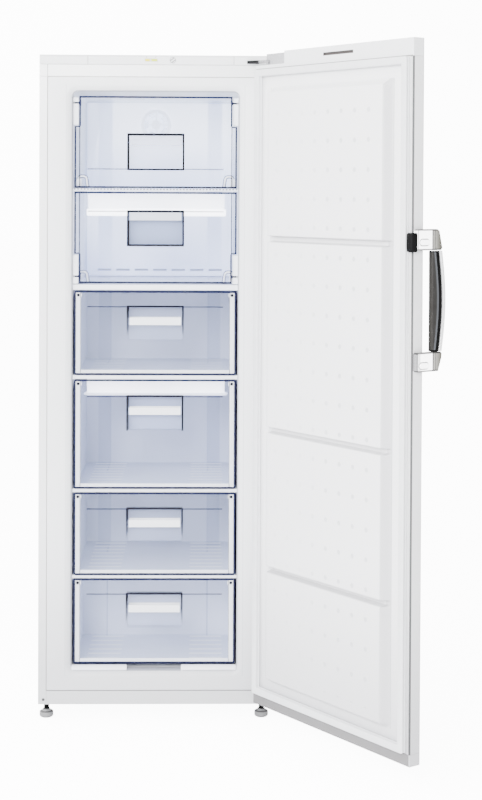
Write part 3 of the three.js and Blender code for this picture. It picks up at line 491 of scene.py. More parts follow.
# Painted shade: the recess cut in the top cap is painted mottled grey.
recess_shade = cap.mix(cap.noise(160, 3), (0.30, 0.30, 0.32), (0.52, 0.52, 0.54))
cap_white = cap.low_shade(z, cap.mix(recess, (0.84, 0.85, 0.87), recess_shade), (0.56, 0.56, 0.58))
cap_lines = largest(lamp_slot, edge_line * 0.75, drip_mark * 0.8)
cap.coat(cap.mix(cap_lines, cap_white, (0.035, 0.028, 0.026)), 0.36 + cap.noise(1000) * 0.1,
         cap.noise(1100), 0.0001, 0.0015, ("door_top_cap", "door_bottom_cap"))
print("door liner with dimples, caps with the lamp slot")

# %% [markdown]
# ## Clear plastic fronts
# The fronts of the flaps and drawers are pale blue clear plastic, about 3 mm thick.
# Looked through they are faint, but wherever the light runs along the plastic, at
# rims and folds, it piles up to a deep navy line. The finish has a little of both:
# mostly see-through, with a mask of the rims taken from each piece's own box.

# %% Clear blue fronts
NAVY = (0.007, 0.009, 0.036)
BLACK_LINE = (0.004, 0.004, 0.010)
PALE = (0.55, 0.63, 0.90)
STEEL_BLUE = (0.26, 0.32, 0.50)
FRAME_WHITE = (0.90, 0.92, 0.97)


def flap_rims(look, side, z, half, neck_z, neck_way):
    """A flap's distance from its edge and its inner line. Past the neck's height the
    flap is 12 mm narrower on each side."""
    narrow = look.ramp(z, neck_z - 0.0002 * neck_way, neck_z + 0.0002 * neck_way)
    neck_line = look.band(z, neck_z - 0.0012 * neck_way, 0.0012, 0.0006)
    neck_line = neck_line * look.ramp(side, 0.1945, 0.1955)
    inner_line = look.band(side, 0.1958, 0.0011, 0.0006) * (1 - narrow) * 0.7
    return half - side - narrow * 0.012, largest(inner_line, neck_line)


def drawer_frame(look, side, z, low_z, high_z):
    """A drawer's dark corner marks and the white frame of its bin behind the front."""
    ring = length(side - 0.198, z - high_z + 0.011)
    frame_white = largest(look.band(side, 0.1985, 0.0050, 0.0010),
                          look.band(z, low_z + 0.0095, 0.0036, 0.0010),
                          look.ramp(ring, 0.0095, 0.0085))
    return look.ramp(ring, 0.0042, 0.0034), frame_white


def clear_front(name, pull_low, pull_high, bar_low, bar_high,
                cup, fade, bar_white, under, neck=None):
    """A clear front with navy rims, from its box and the heights of its pull. cup is
    how milky the recess is, fade how much its side lines fade downward, bar_white how
    solid its bar is, under how dark the line below the recess is, and neck the height
    where a flap narrows and which way."""
    low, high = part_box(name)
    look = Finish(name + "_clear", IOR=1.46, Specular_IOR_Level=0.22)
    side, _, z = look.cabinet()
    streaks = look.noise(9, 3, stretch=(1, 1, 0.3))
    uneven = 0.72 + look.noise(55) * 0.5
    if neck:
        edge, inner_line = flap_rims(look, side, z, 0.209, *neck)
        marks, frame_white = 0.0, 0.0
    else:
        edge = (high.x - low.x) / 2 - side
        inner_line = look.band(side, 0.1925, 0.0005, 0.0006) * 0.35
        marks, frame_white = drawer_frame(look, side, z, low.z, high.z)
    rim = look.ramp(edge, 0.0046, 0.0036)
    rim_low = look.ramp(z, low.z + 0.0056, low.z + 0.0046)
    rim_high = look.ramp(z, high.z - 0.0050, high.z - 0.0040)
    fall = (pull_high - z) / (pull_high - pull_low)
    within = look.ramp(z, pull_low - 0.003, pull_low - 0.001)
    within = within * look.ramp(z, pull_high + 0.0035, pull_high + 0.002)
    beside = look.band(side, 0.0712, 0.0021, 0.0006) * within * (1 - fall * fade)
    pull_width = look.ramp(side, 0.0738, 0.0730)
    above = look.band(z, pull_high + 0.0014, 0.0025, 0.0006) * pull_width
    below = look.band(z, pull_low - 0.0006, 0.0020, 0.0006) * pull_width
    crease_z = pull_low if neck and neck[1] > 0 else pull_high + 0.001
    crease = look.band(z, crease_z, 0.0011, 0.0008) * look.ramp(side, 0.176, 0.174)
    crease = crease * look.ramp(side, 0.0718, 0.0726)
    navy = largest(rim, rim_low * 0.9, rim_high, inner_line, crease * 0.5) * uneven
    black = largest(beside, above, below * under, marks)
    bar = look.band(z, (bar_low + bar_high) / 2, (bar_high - bar_low) / 2, 0.001)
    bar = bar * look.ramp(side, 0.0665, 0.0655)
    recess = look.band(z, (pull_low + pull_high) / 2, (pull_high - pull_low) / 2, 0.001)
    recess = recess * look.ramp(side, 0.0705, 0.0695)
    tint = look.mix(recess * cup, PALE, STEEL_BLUE)
    tint = look.mix(bar * (0.35 + 0.65 * bar_white), tint, FRAME_WHITE)
    tint = look.mix(frame_white, tint, FRAME_WHITE)
    tint = look.mix(look.ramp(navy, 0.02, 0.30), tint, NAVY)
    haze = (0.03 + streaks * 0.10) + recess * (0.06 + cup * 0.62)
    solid = largest(haze, navy * 0.95, black * 0.97, bar * (0.25 + 0.6 * bar_white),
                    frame_white * 0.55)
    look.feed("Alpha", solid.math("MINIMUM", 1.0))
    look.coat(look.mix(look.ramp(black, 0.02, 0.30), tint, BLACK_LINE),
              largest(0.07 + streaks * 0.08, navy * 0.8, black * 0.9),
              look.noise(60), 0.0002, 0.0015, (name,))


clear_front("flap_upper", 1.422, 1.510, 1.484, 1.510, 0.08, 0.0, 0.1, 1.0, neck=(1.532, 1))
clear_front("flap_lower", 1.226, 1.312, 1.290, 1.312, 0.95, 0.0, 0.35, 0.9, neck=(1.2035, -1))
for i, top in enumerate((1.066, 0.834, 0.543, 0.322), 1):
    milky, fade = (0.10, 1.0) if i != 2 else (0.45, 0.3)
    clear_front(f"drawer_{i}_front", top - 0.085, top, top - 0.046, top - 0.027,
                milky, fade, 1.0, 0.0)
print("clear fronts finished")

# %% [markdown]
# ## Frosted plastic
# The bins, shelves and pivot blocks are the same plastic left milky. Cold plastic
# also keeps a breath of frost, which a soft patchy noise gives. The upper shelf's
# front carries a row of small grip slots. The bins are painted darker and bluer toward
# their back walls, as painted shade, and white stripes across their floors stand for
# ribs, painted as highlights.

# %% Frosted bins and shelves
FLOOR_RIB_PITCH = 0.042
BIN_FLOORS_Z = (0.1465, 0.3759, 0.5999, 0.8939)
frosted = Finish("frosted_plastic")
x, y, z = frosted.xyz()
side, depth = abs(x - middle_x), y - front_y
frost = frosted.noise(22, 4, rough=0.6)
# Painted shade: the bins are painted darker and bluer toward their back walls.
far_back_shade = frosted.ramp(depth, 0.30, 0.41)
wall_rib = frosted.band(side, 0.1530, 0.0150, 0.0060) * far_back_shade
wall_seam = frosted.band(side, 0.1370, 0.0012, 0.0010) * frosted.ramp(depth, 0.27, 0.28)
# Painted highlights: white stripes across the bin floors stand for their ribs.
floor_rib_highlights = frosted.band((y / FLOOR_RIB_PITCH).math("FRACT"), 0.5, 0.14, 0.06)
floor_rib_highlights = floor_rib_highlights * frosted.band(side, 0.1330, 0.0420, 0.0020)
bin_floors = largest(*[frosted.band(z, level, 0.0012, 0.0004) for level in BIN_FLOORS_Z])
bin_plastic = frosted.mix(frost, (0.56, 0.61, 0.78), (0.70, 0.74, 0.88))
bin_plastic = frosted.mix(far_back_shade * 0.55, bin_plastic, (0.34, 0.38, 0.54))
bin_plastic = frosted.mix(largest(wall_rib * 0.6, wall_seam * 0.7), bin_plastic, (0.22, 0.27, 0.46))
bin_plastic = frosted.mix(floor_rib_highlights * bin_floors * 0.85, bin_plastic, (0.93, 0.94, 0.97))
at_front = frosted.ramp(depth, 0.0325, 0.0315)
bin_plastic = frosted.mix(at_front * 0.85, bin_plastic, (0.90, 0.92, 0.96))
frosted.coat(bin_plastic, 0.3 + frost * 0.25, frost, 0.0002, 0.001,
             [n for n in nodes if n.endswith("_bin") or n.startswith(("shelf_", "pivot_block"))])

SLOT_PITCH = 0.0085
slotted = Finish("slotted_shelf_plastic")
x, y, z = slotted.xyz()
dash = slotted.band(((x - middle_x) / SLOT_PITCH).math("FRACT"), 0.5, 0.20, 0.08)
dash = dash * slotted.band(z, 1.3700, 0.0014, 0.0004) * slotted.ramp(y - front_y, 0.0235, 0.0225)
shelf_plastic = slotted.mix(slotted.noise(22, 4), (0.74, 0.78, 0.88), (0.86, 0.88, 0.94))
slotted.coat(slotted.mix(dash * 0.85, shelf_plastic, (0.05, 0.06, 0.14)),
             0.3 + slotted.noise(30, 3) * 0.2, dash * -1.0 + slotted.noise(200) * 0.1,
             0.0006, 0.001, ("shelf_1",))
print("frosted plastic on bins, shelves and blocks")

# %% [markdown]
# ## The handle's finishes
# Bright chrome covers the handle's bar and mounts. The bow of the bar and of the
# grip is half a sine wave along the height, and the same wave places their lines:
# the bar's edges are painted darker as painted reflection, and the grip's black band
# is painted shadow of the gap to the bar, beside a painted highlight. The mounts and
# their screw caps glow by an emission, as painted light.

# %% Chrome and handle plastic
BOW_LOW, BOW_HIGH = 1.0052, 1.2335


def bow_line(z, start, swell):
    """A line of v that swells outward between the mounts: start + swell * sin."""
    return ((z - BOW_LOW) * (math.pi / (BOW_HIGH - BOW_LOW))).math("SINE") * swell + start


chrome = Finish("bright_chrome", Metallic=0.55)
_, v, z = chrome.door()
off_bow = v - bow_line(z, 0.0, 0.0107)
# Painted reflection: the bar's inner and outer edges are painted dark grey.
bow_edge_reflection = largest(chrome.ramp(off_bow, 0.0712, 0.0702), chrome.ramp(off_bow, 0.0788, 0.0798))
chrome.coat(chrome.mix(bow_edge_reflection * 0.75, (0.94, 0.94, 0.95), (0.30, 0.30, 0.31)),
            0.12 + chrome.noise(300, 3, stretch=(1, 1, 0.1)) * 0.10,
            chrome.noise(80), 0.00005, 0.0012, ("handle_bar",))


def mount_finish(name, cap_name, low_z, high_z, face_from, face_to):
    """Chrome of a mount, with painted light: an emission makes the bright face between
    two lines of v glow, and the flanks that turn away on either side, darkest deepest,
    and the part nearer the door are painted darker, as painted reflection. Thin dark
    lines are painted where the faces meet and along the rims, as painted reflection,
    and around the cap."""
    look = Finish(name + "_chrome", Metallic=0.45, Emission_Strength=5.0)
    _, v, z = look.door()
    flank = look.ramp(v, face_to - 0.0005, face_to + 0.0005)
    deeper = look.ramp(v, face_to, face_to + 0.028)
    near = look.ramp(v, face_from, face_from - 0.007)
    rims = largest(look.ramp(z, low_z + 0.0042, low_z + 0.0028),
                   look.ramp(z, high_z - 0.0042, high_z - 0.0028))
    _, cap_v, cap_z = door_place((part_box(cap_name)[0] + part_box(cap_name)[1]) / 2)
    past_end = (abs(v - cap_v) - 0.0070).math("MAXIMUM", 0.0)
    cap_ring = look.band(length(past_end, z - cap_z), 0.0074, 0.0011, 0.0006)
    edges = largest(look.band(v, face_to, 0.0013, 0.0006),
                    look.band(v, face_to + 0.0075, 0.0008, 0.0008) * 0.7,
                    look.band(v, face_from, 0.0010, 0.0006) * 0.8, rims * 0.95, cap_ring * 0.9)
    white = look.mix(near, (0.97, 0.97, 0.98), (0.34, 0.34, 0.35))
    metal = look.mix(flank, white, look.mix(deeper, (0.42, 0.41, 0.38), (0.10, 0.095, 0.075)))
    look.feed("Emission Color", look.mix(largest(near, edges, flank), (1, 1, 1), (0, 0, 0)))
    look.coat(look.mix(edges, metal, (0.02, 0.02, 0.02)), 0.16 + look.noise(300, 3) * 0.10,
              look.noise(90), 0.00005, 0.0012, (name,))


mount_finish("handle_mount_upper", "screw_cap_upper", 1.235, 1.283, 0.0065, 0.0500)
mount_finish("handle_mount_lower", "screw_cap_lower", 0.960, 1.004, 0.0130, 0.0530)
# Painted light: the screw caps glow white by an emission.
plain_finish("screw_cap_chrome", (0.84, 0.85, 0.86), (0.94, 0.95, 0.96), 0.16, 500, 0.00005,
             ("screw_cap_upper", "screw_cap_lower"), Metallic=0.4, Emission_Color=(1, 1, 1),
             Emission_Strength=4.5)

grip = Finish("dark_grip_plastic", Specular_IOR_Level=0.10)
_, v, z = grip.door()
from_outer = bow_line(z, 0.0690, 0.0100) - v
# Painted shadow: a black band along the grip's outer side and at both ends stands for the gap to
# the bar and the mounts; the sheen beside it is a painted highlight.
gap_shadow = largest(grip.ramp(from_outer, 0.0115, 0.0100), grip.ramp(z, 1.2300, 1.2315),
                 grip.ramp(z, 1.0095, 1.0080))
sheen = grip.band(from_outer, 0.0135, 0.0012, 0.0030)
grip_grey = grip.mix(grip.noise(50), (0.018, 0.017, 0.016), (0.030, 0.029, 0.028))
grip_grey = grip.mix(sheen * 0.8, grip_grey, (0.085, 0.09, 0.10))
grip.coat(grip.mix(gap_shadow, grip_grey, (0.0012, 0.0012, 0.0014)),
          largest(0.30 + grip.noise(200) * 0.15, gap_shadow * 0.85), grip.noise(1500), 0.00006, 0.001,
          ("handle_grip",))
print("chrome, mounts, caps and grip")

# %% [markdown]
# ## Hidden metal, foam and the machine's finishes
# Zinc covers hidden steel, the machine at the back is black enamel, and the foam is
# lined with grey sheet steel around the machine. The upper hinge bracket is black by
# the cabinet, and worn bare around the pin.

# %% Metal, plastic and foam
black_plastic = plain_finish(
    "black_moulded_plastic", (0.001, 0.001, 0.0012), (0.003, 0.003, 0.0034), 0.45, 900, 0.0001,
    ("drip_tray", "mains_inlet", "terminal_box", "pusher"), Specular_IOR_Level=0.08)
plain_finish("black_stove_enamel", (0.008, 0.008, 0.009), (0.02, 0.02, 0.022), 0.28, 700, 0.0001,
             ("compressor", "condenser_coil"), Metallic=0.2)
plain_finish("bright_zinc", (0.38, 0.40, 0.42), (0.56, 0.58, 0.6), 0.3, 260, 0.00015,
             ("base_plate", "bottom_hinge_bracket"), Metallic=1.0)
plain_finish("cast_aluminium", (0.5, 0.52, 0.54), (0.66, 0.68, 0.7), 0.35, 400, 0.0001,
             ("evaporator",), Metallic=1.0)
bearing_grey = plain_finish(
    "grey_bearing_plastic", (0.36, 0.38, 0.41), (0.48, 0.5, 0.53), 0.4, 900, 0.0001,
    ("hinge_bush_top", "hinge_bush_bottom"))
FOAM_DARK, FOAM_LIGHT = (0.62, 0.52, 0.26), (0.78, 0.68, 0.38)
plain_finish("poured_foam", FOAM_DARK, FOAM_LIGHT, 0.85, 300, 0.0008, ("door_foam",))

lined_foam = Finish("foam_with_steel_lining")
_, depth, z = lined_foam.cabinet()
lining = lined_foam.ramp(z, 0.3440, 0.3430) * lined_foam.ramp(depth, 0.290, 0.292)
foam_yellow = lined_foam.mix(lined_foam.noise(35, 3), FOAM_DARK, FOAM_LIGHT)
lining_grey = lined_foam.mix(lined_foam.noise(260, 3), (0.34, 0.35, 0.37), (0.46, 0.47, 0.49))
lined_foam.coat(lined_foam.mix(lining, foam_yellow, lining_grey), 0.85 - lining * 0.45,
                lined_foam.noise(300) * (1 - lining), 0.0008, 0.0008, ("cabinet_foam",))

bracket = Finish("hinge_bracket_black", Specular_IOR_Level=0.15)
depth = bracket.cabinet()[1]
worn = bracket.mix(bracket.noise(330), (0.04, 0.04, 0.045), (0.62, 0.62, 0.64))
bracket.coat(bracket.mix(bracket.ramp(depth, -0.028, -0.034), (0.005, 0.005, 0.006), worn),
             0.4 + bracket.noise(300) * 0.2, bracket.noise(600), 0.0002, 0.0006,
             ("top_hinge_bracket",))
print("metal, plastic, foam and machine finishes")

# %% [markdown]
# ## Surfaces from grids
# Every new piece below is a grid of points that numpy works out in one go: i runs
# along the piece and j runs around it. One helper joins the neighbours into quads,
# closes the ends and turns the faces outward, so each piece is only its formula.


# %% Grid meshes
def grid_piece(name, grid, finish, body, wrap_i=False, wrap_j=True, ends="both",
               toward=None, sharp=35):
    """A mesh through grid[i, j]. wrap_i and wrap_j close a direction, and ends says
    which open ends get a flat face. An open surface faces the direction toward."""
    rows, columns = grid.shape[:2]
    i, j = np.meshgrid(np.arange(rows - (not wrap_i)), np.arange(columns - (not wrap_j)),
                       indexing="ij")
    next_i, next_j = (i + 1) % rows, (j + 1) % columns
    quads = np.stack([i * columns + j, next_i * columns + j,
                      next_i * columns + next_j, i * columns + next_j], -1).reshape(-1, 4)
    points = grid.reshape(-1, 3)
    a, b, c, d = (points[quads[:, k]] - points.mean(0) for k in range(4))
    if toward is None:
        facing = np.einsum("ij,ij->i", a, np.cross(b, c) + np.cross(c, d)).sum()
    else:
        facing = (np.cross(c - a, d - b) @ np.asarray(toward, float)).sum()
    faces = quads.tolist()
    if ends == "both":
        faces.append(list(range(columns)))
    if ends in ("both", "last"):
        faces.append(list(range((rows - 1) * columns, rows * columns))[::-1])
    if facing < 0:
        faces = [face[::-1] for face in faces]
    mesh = bpy.data.meshes.new(name)
    mesh.from_pydata(points.tolist(), [], faces)
    mesh.polygons.foreach_set("use_smooth", [True] * len(faces))
    mesh.set_sharp_from_angle(angle=math.radians(sharp))
    mesh.materials.append(finish.material)
    piece = bpy.data.objects.new(name, mesh)
    bpy.context.scene.collection.objects.link(piece)
    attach(piece, body)
    return piece


def walled(piece, thickness):
    """Gives an open surface its thickness, on the side away from its faces."""
    wall = piece.modifiers.new("wall", "SOLIDIFY")
    wall.thickness = thickness
    wall.offset = -1


def ring_angles(count):
    """Angles once around a ring, evenly spaced."""
    return np.linspace(0, 2 * np.pi, count, endpoint=False)


def squarish(angle, power):
    """A superellipse, from a circle (power 1) toward a square (power 0). Each side is
    sign(cos) * |cos| ** power, and the same for sin."""
    return tuple(np.sign(way(angle)) * np.abs(way(angle)) ** power for way in (np.cos, np.sin))


def loop(half, low, high, radius, steps=8):
    """Points (x, z) around a rectangle with round corners: four quarter circles of
    the radius, joined by straight runs, counter-clockwise from the right side."""
    turn = np.linspace(0, np.pi / 2, steps)[None, :] + np.array([0, 0.5, 1, 1.5])[:, None] * np.pi
    way_x, way_z = np.array([[1], [-1], [-1], [1]]), np.array([[1], [1], [-1], [-1]])
    x = way_x * half + radius * (np.cos(turn) - way_x)
    z = np.where(way_z > 0, high, low) + radius * (np.sin(turn) - way_z)
    return np.stack([x.ravel(), z.ravel()], -1)


def lathe(name, profile, place, finish, body, sides=64, ripple=None):
    """A turned piece: each (radius, height) of the profile becomes a ring, and ripple
    (height, angle) scales the ring's radius. place maps (a, b, height) to a point."""
    radius, height = np.array(profile, float).T[..., None]
    angle = ring_angles(sides)
    around = radius * (1.0 if ripple is None else ripple(height, angle))
    grid = place(around * np.cos(angle), around * np.sin(angle), height + 0 * angle)
    return grid_piece(name, grid, finish, body)


def tube(name, path, radius, across, finish, body, sides=12):
    """A round bar along a path that lies in one plane; across is that plane's normal.
    Each ring is radius * (cos * across + sin * (across x direction))."""
    direction = np.gradient(path, axis=0)
    direction /= np.linalg.norm(direction, axis=1, keepdims=True)
    across = np.broadcast_to(np.asarray(across, float), path.shape)
    beside = np.cross(across, direction)
    angle = ring_angles(sides)[None, :, None]
    ring = np.cos(angle) * across[:, None] + np.sin(angle) * beside[:, None]
    return grid_piece(name, path[:, None] + radius * ring, finish, body)


def rounded_path(corners, radius, steps):
    """Straight runs with each corner cut by a curve: between the points at the given
    distance before and after a corner, (1-t)^2 a + 2t(1-t) corner + t^2 b."""
    corners = np.asarray(corners, float)
    t = np.linspace(0, 1, steps)[:, None]
    runs = [corners[:1]]
    for before, at, after in zip(corners[:-2], corners[1:-1], corners[2:]):
        a = at + (before - at) * radius / np.linalg.norm(before - at)
        b = at + (after - at) * radius / np.linalg.norm(after - at)
        runs.append((1 - t) ** 2 * a + 2 * t * (1 - t) * at + t ** 2 * b)
    return np.concatenate(runs + [corners[-1:]])


print("grid helpers ready")

# %% [markdown]
# ## The door's inner liner
# One sheet of plastic is drawn over a mould: a flat margin for the gasket, steep
# flanks, a raised middle and three grooves across it that stiffen it. The height is
# one formula, so the sheet is a grid of (u, z) with more lines where it bends.


# %% Formed door liner
def eased(t):
    """0 to 1 with soft ends, but mostly straight between them."""
    t = np.clip(t, 0, 1)
    return 0.45 * t + 0.55 * t * t * (3 - 2 * t)


def liner_height(u, z):
    """The margin is 0. The middle rises by 22 mm over 15 mm of width, measured from
    the nearest foot line, with corners rounded by 20 mm so that they clear the mouth
    when the door is shut, and falls back almost to 0 inside each groove."""
    corner = 0.020
    across, along = np.minimum(u - 0.066, 0.529 - u), np.minimum(z - 0.133, 1.627 - z)
    rounded = corner - np.hypot(np.maximum(corner - across, 0), np.maximum(corner - along, 0))
    inside = np.minimum(np.minimum(across, along), rounded)
    height = 0.022 * eased(inside / 0.015)
    for groove in GROOVES_Z:
        height = height * (0.04 + 0.96 * eased((np.abs(z - groove) - 0.005) / 0.0035))
    return height


def grid_lines(start, stop, *bends, coarse=0.04, fine=0.0012, reach=0.009):
    """Grid lines from start to stop: far apart, but close together near each bend."""
    near = [np.arange(bend - reach, bend + reach, fine) for bend in bends]
    far = np.linspace(start, stop, int((stop - start) / coarse) + 2)
    every = np.unique(np.round(np.concatenate([far, *near]), 5))
    return every[(every >= start) & (every <= stop)]


sheet_u = grid_lines(0.0113, 0.5837, 0.0735, 0.5215)
sheet_z = grid_lines(0.0908, 1.6732, 0.1405, 1.6195, *GROOVES_Z, coarse=0.05, reach=0.0105)
grid_u, grid_z = np.meshgrid(sheet_u, sheet_z, indexing="ij")
inward = door_point(0, -1, 0) - door_point(0, 0, 0)
formed_liner = grid_piece(
    "door_liner_sheet", door_point(grid_u, -liner_height(grid_u, grid_z), grid_z),
    door_liner, "door", wrap_j=False, ends="none", toward=inward, sharp=60)
walled(formed_liner, 0.0018)
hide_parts("door_liner")
print("door liner grid", grid_u.shape)

# %% [markdown]
# ## The cabinet's liner
# The cavity is drawn from one sheet too: a flat frame, a soft flare into the mouth,
# straight walls, a step over the machine and a back wall. Each depth has one rounded
# rectangle, and the walls join them.

# %% Formed cabinet liner
rings = [  # depth, half width, floor, roof, corner radius, all in metres
    (0.0020, 0.2762, 0.0790, 1.6577, 0.002), (0.0000, 0.2758, 0.0794, 1.6573, 0.002),
    (0.0000, 0.2290, 0.1160, 1.6367, 0.030), (0.0004, 0.2275, 0.1175, 1.6352, 0.029),
    (0.0020, 0.2245, 0.1205, 1.6322, 0.026), (0.0050, 0.2205, 0.1245, 1.6282, 0.022),
    (0.0090, 0.2165, 0.1285, 1.6242, 0.018), (0.0120, 0.2142, 0.1308, 1.6219, 0.0155),
    (0.0150, 0.2131, 0.1319, 1.6208, 0.0145), (0.0200, 0.2130, 0.1320, 1.6207, 0.014),
    (0.2960, 0.2130, 0.1320, 1.6207, 0.014), (0.3000, 0.2130, 0.1330, 1.6207, 0.014),
    (0.3005, 0.2130, 0.3440, 1.6207, 0.014), (0.3020, 0.2130, 0.3470, 1.6207, 0.014),
    (0.4580, 0.2130, 0.3470, 1.6207, 0.014), (0.4612, 0.2122, 0.3478, 1.6199, 0.013),
    (0.4620, 0.2100, 0.3500, 1.6177, 0.011),
]
layers = []
for depth, half, low_z, high_z, radius in rings:
    outline = loop(half, low_z, high_z, radius)
    layers.append(cabinet_point(outline[:, 0], depth, outline[:, 1]))
tub = grid_piece("cabinet_liner_sheet", np.array(layers), liner, "cabinet", ends="last",
                 toward=(0, -1, 0), sharp=50)
walled(tub, 0.002)
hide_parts("inner_liner")
print("cabinet liner layers", len(layers))

# %% [markdown]
# ## The gasket
# A soft hollow strip with a magnet in it: a flat face that meets the cabinet, a
# bellows on its outer side and a thin lip inside. Its section is carried around the
# door, and each point of the section runs on its own rounded rectangle.

# %% Gasket
section = np.array([  # distance in from the outer edge, and v, both in millimetres
    (1.5, -0.4), (0.4, -1.2), (0.0, -3.0), (0.4, -4.6), (2.2, -5.4), (2.6, -6.6), (2.2, -7.8),
    (0.4, -8.6), (0.0, -10.2), (0.2, -12.2), (1.2, -13.2), (3.0, -13.4), (14.5, -13.4),
    (16.6, -13.0), (17.5, -11.8), (17.2, -9.0), (16.0, -6.0), (16.6, -3.0), (17.7, -1.4),
    (17.2, -0.4),
]) / 1000
strands = []
for inset, v_at in section:
    outline = loop(0.2862 - inset, 0.092 + inset, 1.673 - inset, max(0.006 - inset, 0.0006))
    strands.append(door_point(DOOR_MIDDLE_U - outline[:, 0], v_at, outline[:, 1]))
rubber = Finish("pale_gasket_rubber")
rubber.coat(rubber.mix(rubber.noise(40, 3), (0.70, 0.71, 0.73), (0.80, 0.81, 0.83)),
            0.5 + rubber.noise(700) * 0.15, rubber.noise(900), 0.0001)
gasket = grid_piece("gasket_strip", np.array(strands), rubber, "door", wrap_i=True,
                    ends="none", sharp=50)
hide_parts("door_gasket")
print("gasket section points", len(section))

# %% [markdown]
# ## The handle's lever
# The lever has a dark body where the fingers pull and a bright bow outside it. Both
# are a rounded block whose middle line and depth change along its height, with the
# section of a superellipse: between a circle and a square, by its exponent.


# %% Lever
def block_section(height, v_in, v_out, u_in, u_out, exponent):
    """Rings at the given heights between two lines of v and two of u, each ring a
    superellipse: middle + half * squarish."""
    angle = ring_angles(40)
    wide, deep = squarish(angle, 2 / exponent)
    height, v_in, v_out = (np.asarray(line)[:, None] for line in (height, v_in, v_out))
    return door_point((u_in + u_out) / 2 + (u_out - u_in) / 2 * wide,
                      (v_in + v_out) / 2 + (v_out - v_in) / 2 * deep, height + 0 * angle)


LEVER_U = (0.5936, 0.6088)  # the lever's two faces
rise = np.concatenate([[0, 0.002, 0.008], np.linspace(0.02, 0.98, 40), [0.992, 0.998, 1]])
height = BOW_LOW + (BOW_HIGH - BOW_LOW) * rise
bow = np.sin(np.pi * rise)
end_ease = 1 - 0.06 * (1 - np.clip(np.minimum(rise, 1 - rise) / 0.02, 0, 1)) ** 2
grip_in, grip_out = 0.0485, 0.0690 + 0.0100 * bow
grip_mid, grip_half = (grip_in + grip_out) / 2, (grip_out - grip_in) / 2 * end_ease
grip_rings = block_section(height, grip_mid - grip_half, grip_mid + grip_half, *LEVER_U, 5.5)
grip_body = grid_piece("handle_grip_body", grip_rings, grip, "handle_lever")
ear_height = [0.983, 0.984, 0.986, 1.0045, 1.008]
ear_in = np.array([0.0545, 0.0535, 0.053, 0.053, 0.053])
ear_rings = block_section(ear_height, ear_in, 0.120 - ear_in, 0.5996, 0.6036, 8)
grip_ear = grid_piece("handle_grip_ear", ear_rings, grip, "handle_lever")
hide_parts("handle_grip")
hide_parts("handle_grip")
bow_rings = block_section(height, 0.0697 + 0.0105 * bow, 0.0800 + 0.0110 * bow,
                          LEVER_U[0] - 0.0002, LEVER_U[1] + 0.0002, 3.2)
bright_bar = grid_piece("handle_bright_bow", bow_rings, chrome, "handle_lever")
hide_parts("handle_bar")
print("lever rings", len(height))

# %% [markdown]
# ## Feet and rollers
# Each foot is a turned plastic disc with a knurled edge to grip, a neck and a black
# thread. The thread is the ripple of a turned piece: the radius rises and falls once
# for each pitch, and the rise moves around with the angle.


# %% Feet
def at_cabinet(centre_x, centre_y):
    """Places a turned piece upright at a point of the cabinet."""
    return lambda a, b, h: cabinet_point(centre_x + a, centre_y + b, h)


def knurled(height, angle):
    """Grip ribs: 28 shallow waves around the disc, none on its top and bottom."""
    side = np.clip((height - 0.004) / 0.002, 0, 1) * np.clip((0.0145 - height) / 0.002, 0, 1)
    return 1 + 0.03 * side * (np.cos(28 * angle) - 1) / 2


def threaded(height, angle):
    """A screw thread of 2 mm pitch: 7% ripple that climbs once around per turn."""
    return 1 + 0.07 * np.cos(height / 0.0020 * 2 * np.pi - angle)


# Painted shade: the feet's white plastic is painted dark grey for shade under the cabinet, darker
# still on the disc's underside, with dark lines at its top edge and over its neck.
foot_plastic = Finish("foot_white_plastic")
z = foot_plastic.xyz()[2]
foot_rims_and_shade = largest(foot_plastic.ramp(z, 0.0042, 0.0020),
                    foot_plastic.band(z, 0.0156, 0.0007, 0.0010) * 0.8,
                    foot_plastic.ramp(z, 0.0200, 0.0212) * 0.8)
foot_shade_grey = foot_plastic.mix(foot_plastic.noise(60, 3), (0.15, 0.15, 0.155), (0.24, 0.24, 0.245))
foot_plastic.coat(foot_plastic.mix(foot_rims_and_shade, foot_shade_grey, (0.03, 0.03, 0.03)),
                  0.42 + foot_plastic.noise(400) * 0.2, foot_plastic.noise(500), 0.0003)
disc = [(0.001, 0), (0.0130, 0), (0.0160, 0.0016), (0.0176, 0.0036), (0.0180, 0.0055),
        (0.0180, 0.0130), (0.0176, 0.0146), (0.0160, 0.0158), (0.0125, 0.0168), (0.0106, 0.0184),
        (0.0098, 0.0206), (0.0090, 0.0216), (0.0075, 0.0220), (0.001, 0.0220)]
thread = [(0.001, 0.0216), (0.0066, 0.0216)] + [(0.0066, 0.0218 + 0.0002 * k) for k in range(103)]
thread += [(0.001, 0.0425)]
for side_name, side in SIDES:
    place, body = at_cabinet(side * 0.279, 0.038), f"foot_{side_name}"
    foot = lathe(f"foot_{side_name}_disc", disc, place, foot_plastic, body, 112, knurled)
    screw = lathe(f"foot_{side_name}_screw", thread, place, black_plastic, body, 32, threaded)
    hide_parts(f"foot_{side_name}")
    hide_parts(f"foot_{side_name}")
print("feet made")

# %% Rollers
tread = [(0.0036, -0.0153), (0.0036, -0.0112), (0.0075, -0.0110), (0.0080, -0.0080),
         (0.0155, -0.0078), (0.0165, -0.0100), (0.0188, -0.0108), (0.0198, -0.0095),
         (0.0200, -0.0070)]
tread += [(radius, -height) for radius, height in reversed(tread)]
for side_name, side in SIDES:
    roller = lathe(f"roller_{side_name}_wheel", tread,
                   lambda a, b, h, side=side: cabinet_point(side * 0.262 + h, 0.500 + a, 0.020 + b),
                   bearing_grey, f"roller_{side_name}")
    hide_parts(f"roller_{side_name}")
print("rollers made")

# %% [markdown]
# ## Small parts of the front
# Hooks stand on the shelves behind each flap's lower corners, each with a larger dark
# tube behind it as its painted shadow. Two raised bars part the sill below the lowest
# drawer, and a plug closes the unused hinge hole. The pusher beside the handle is a
# bent bar with rounded edges.

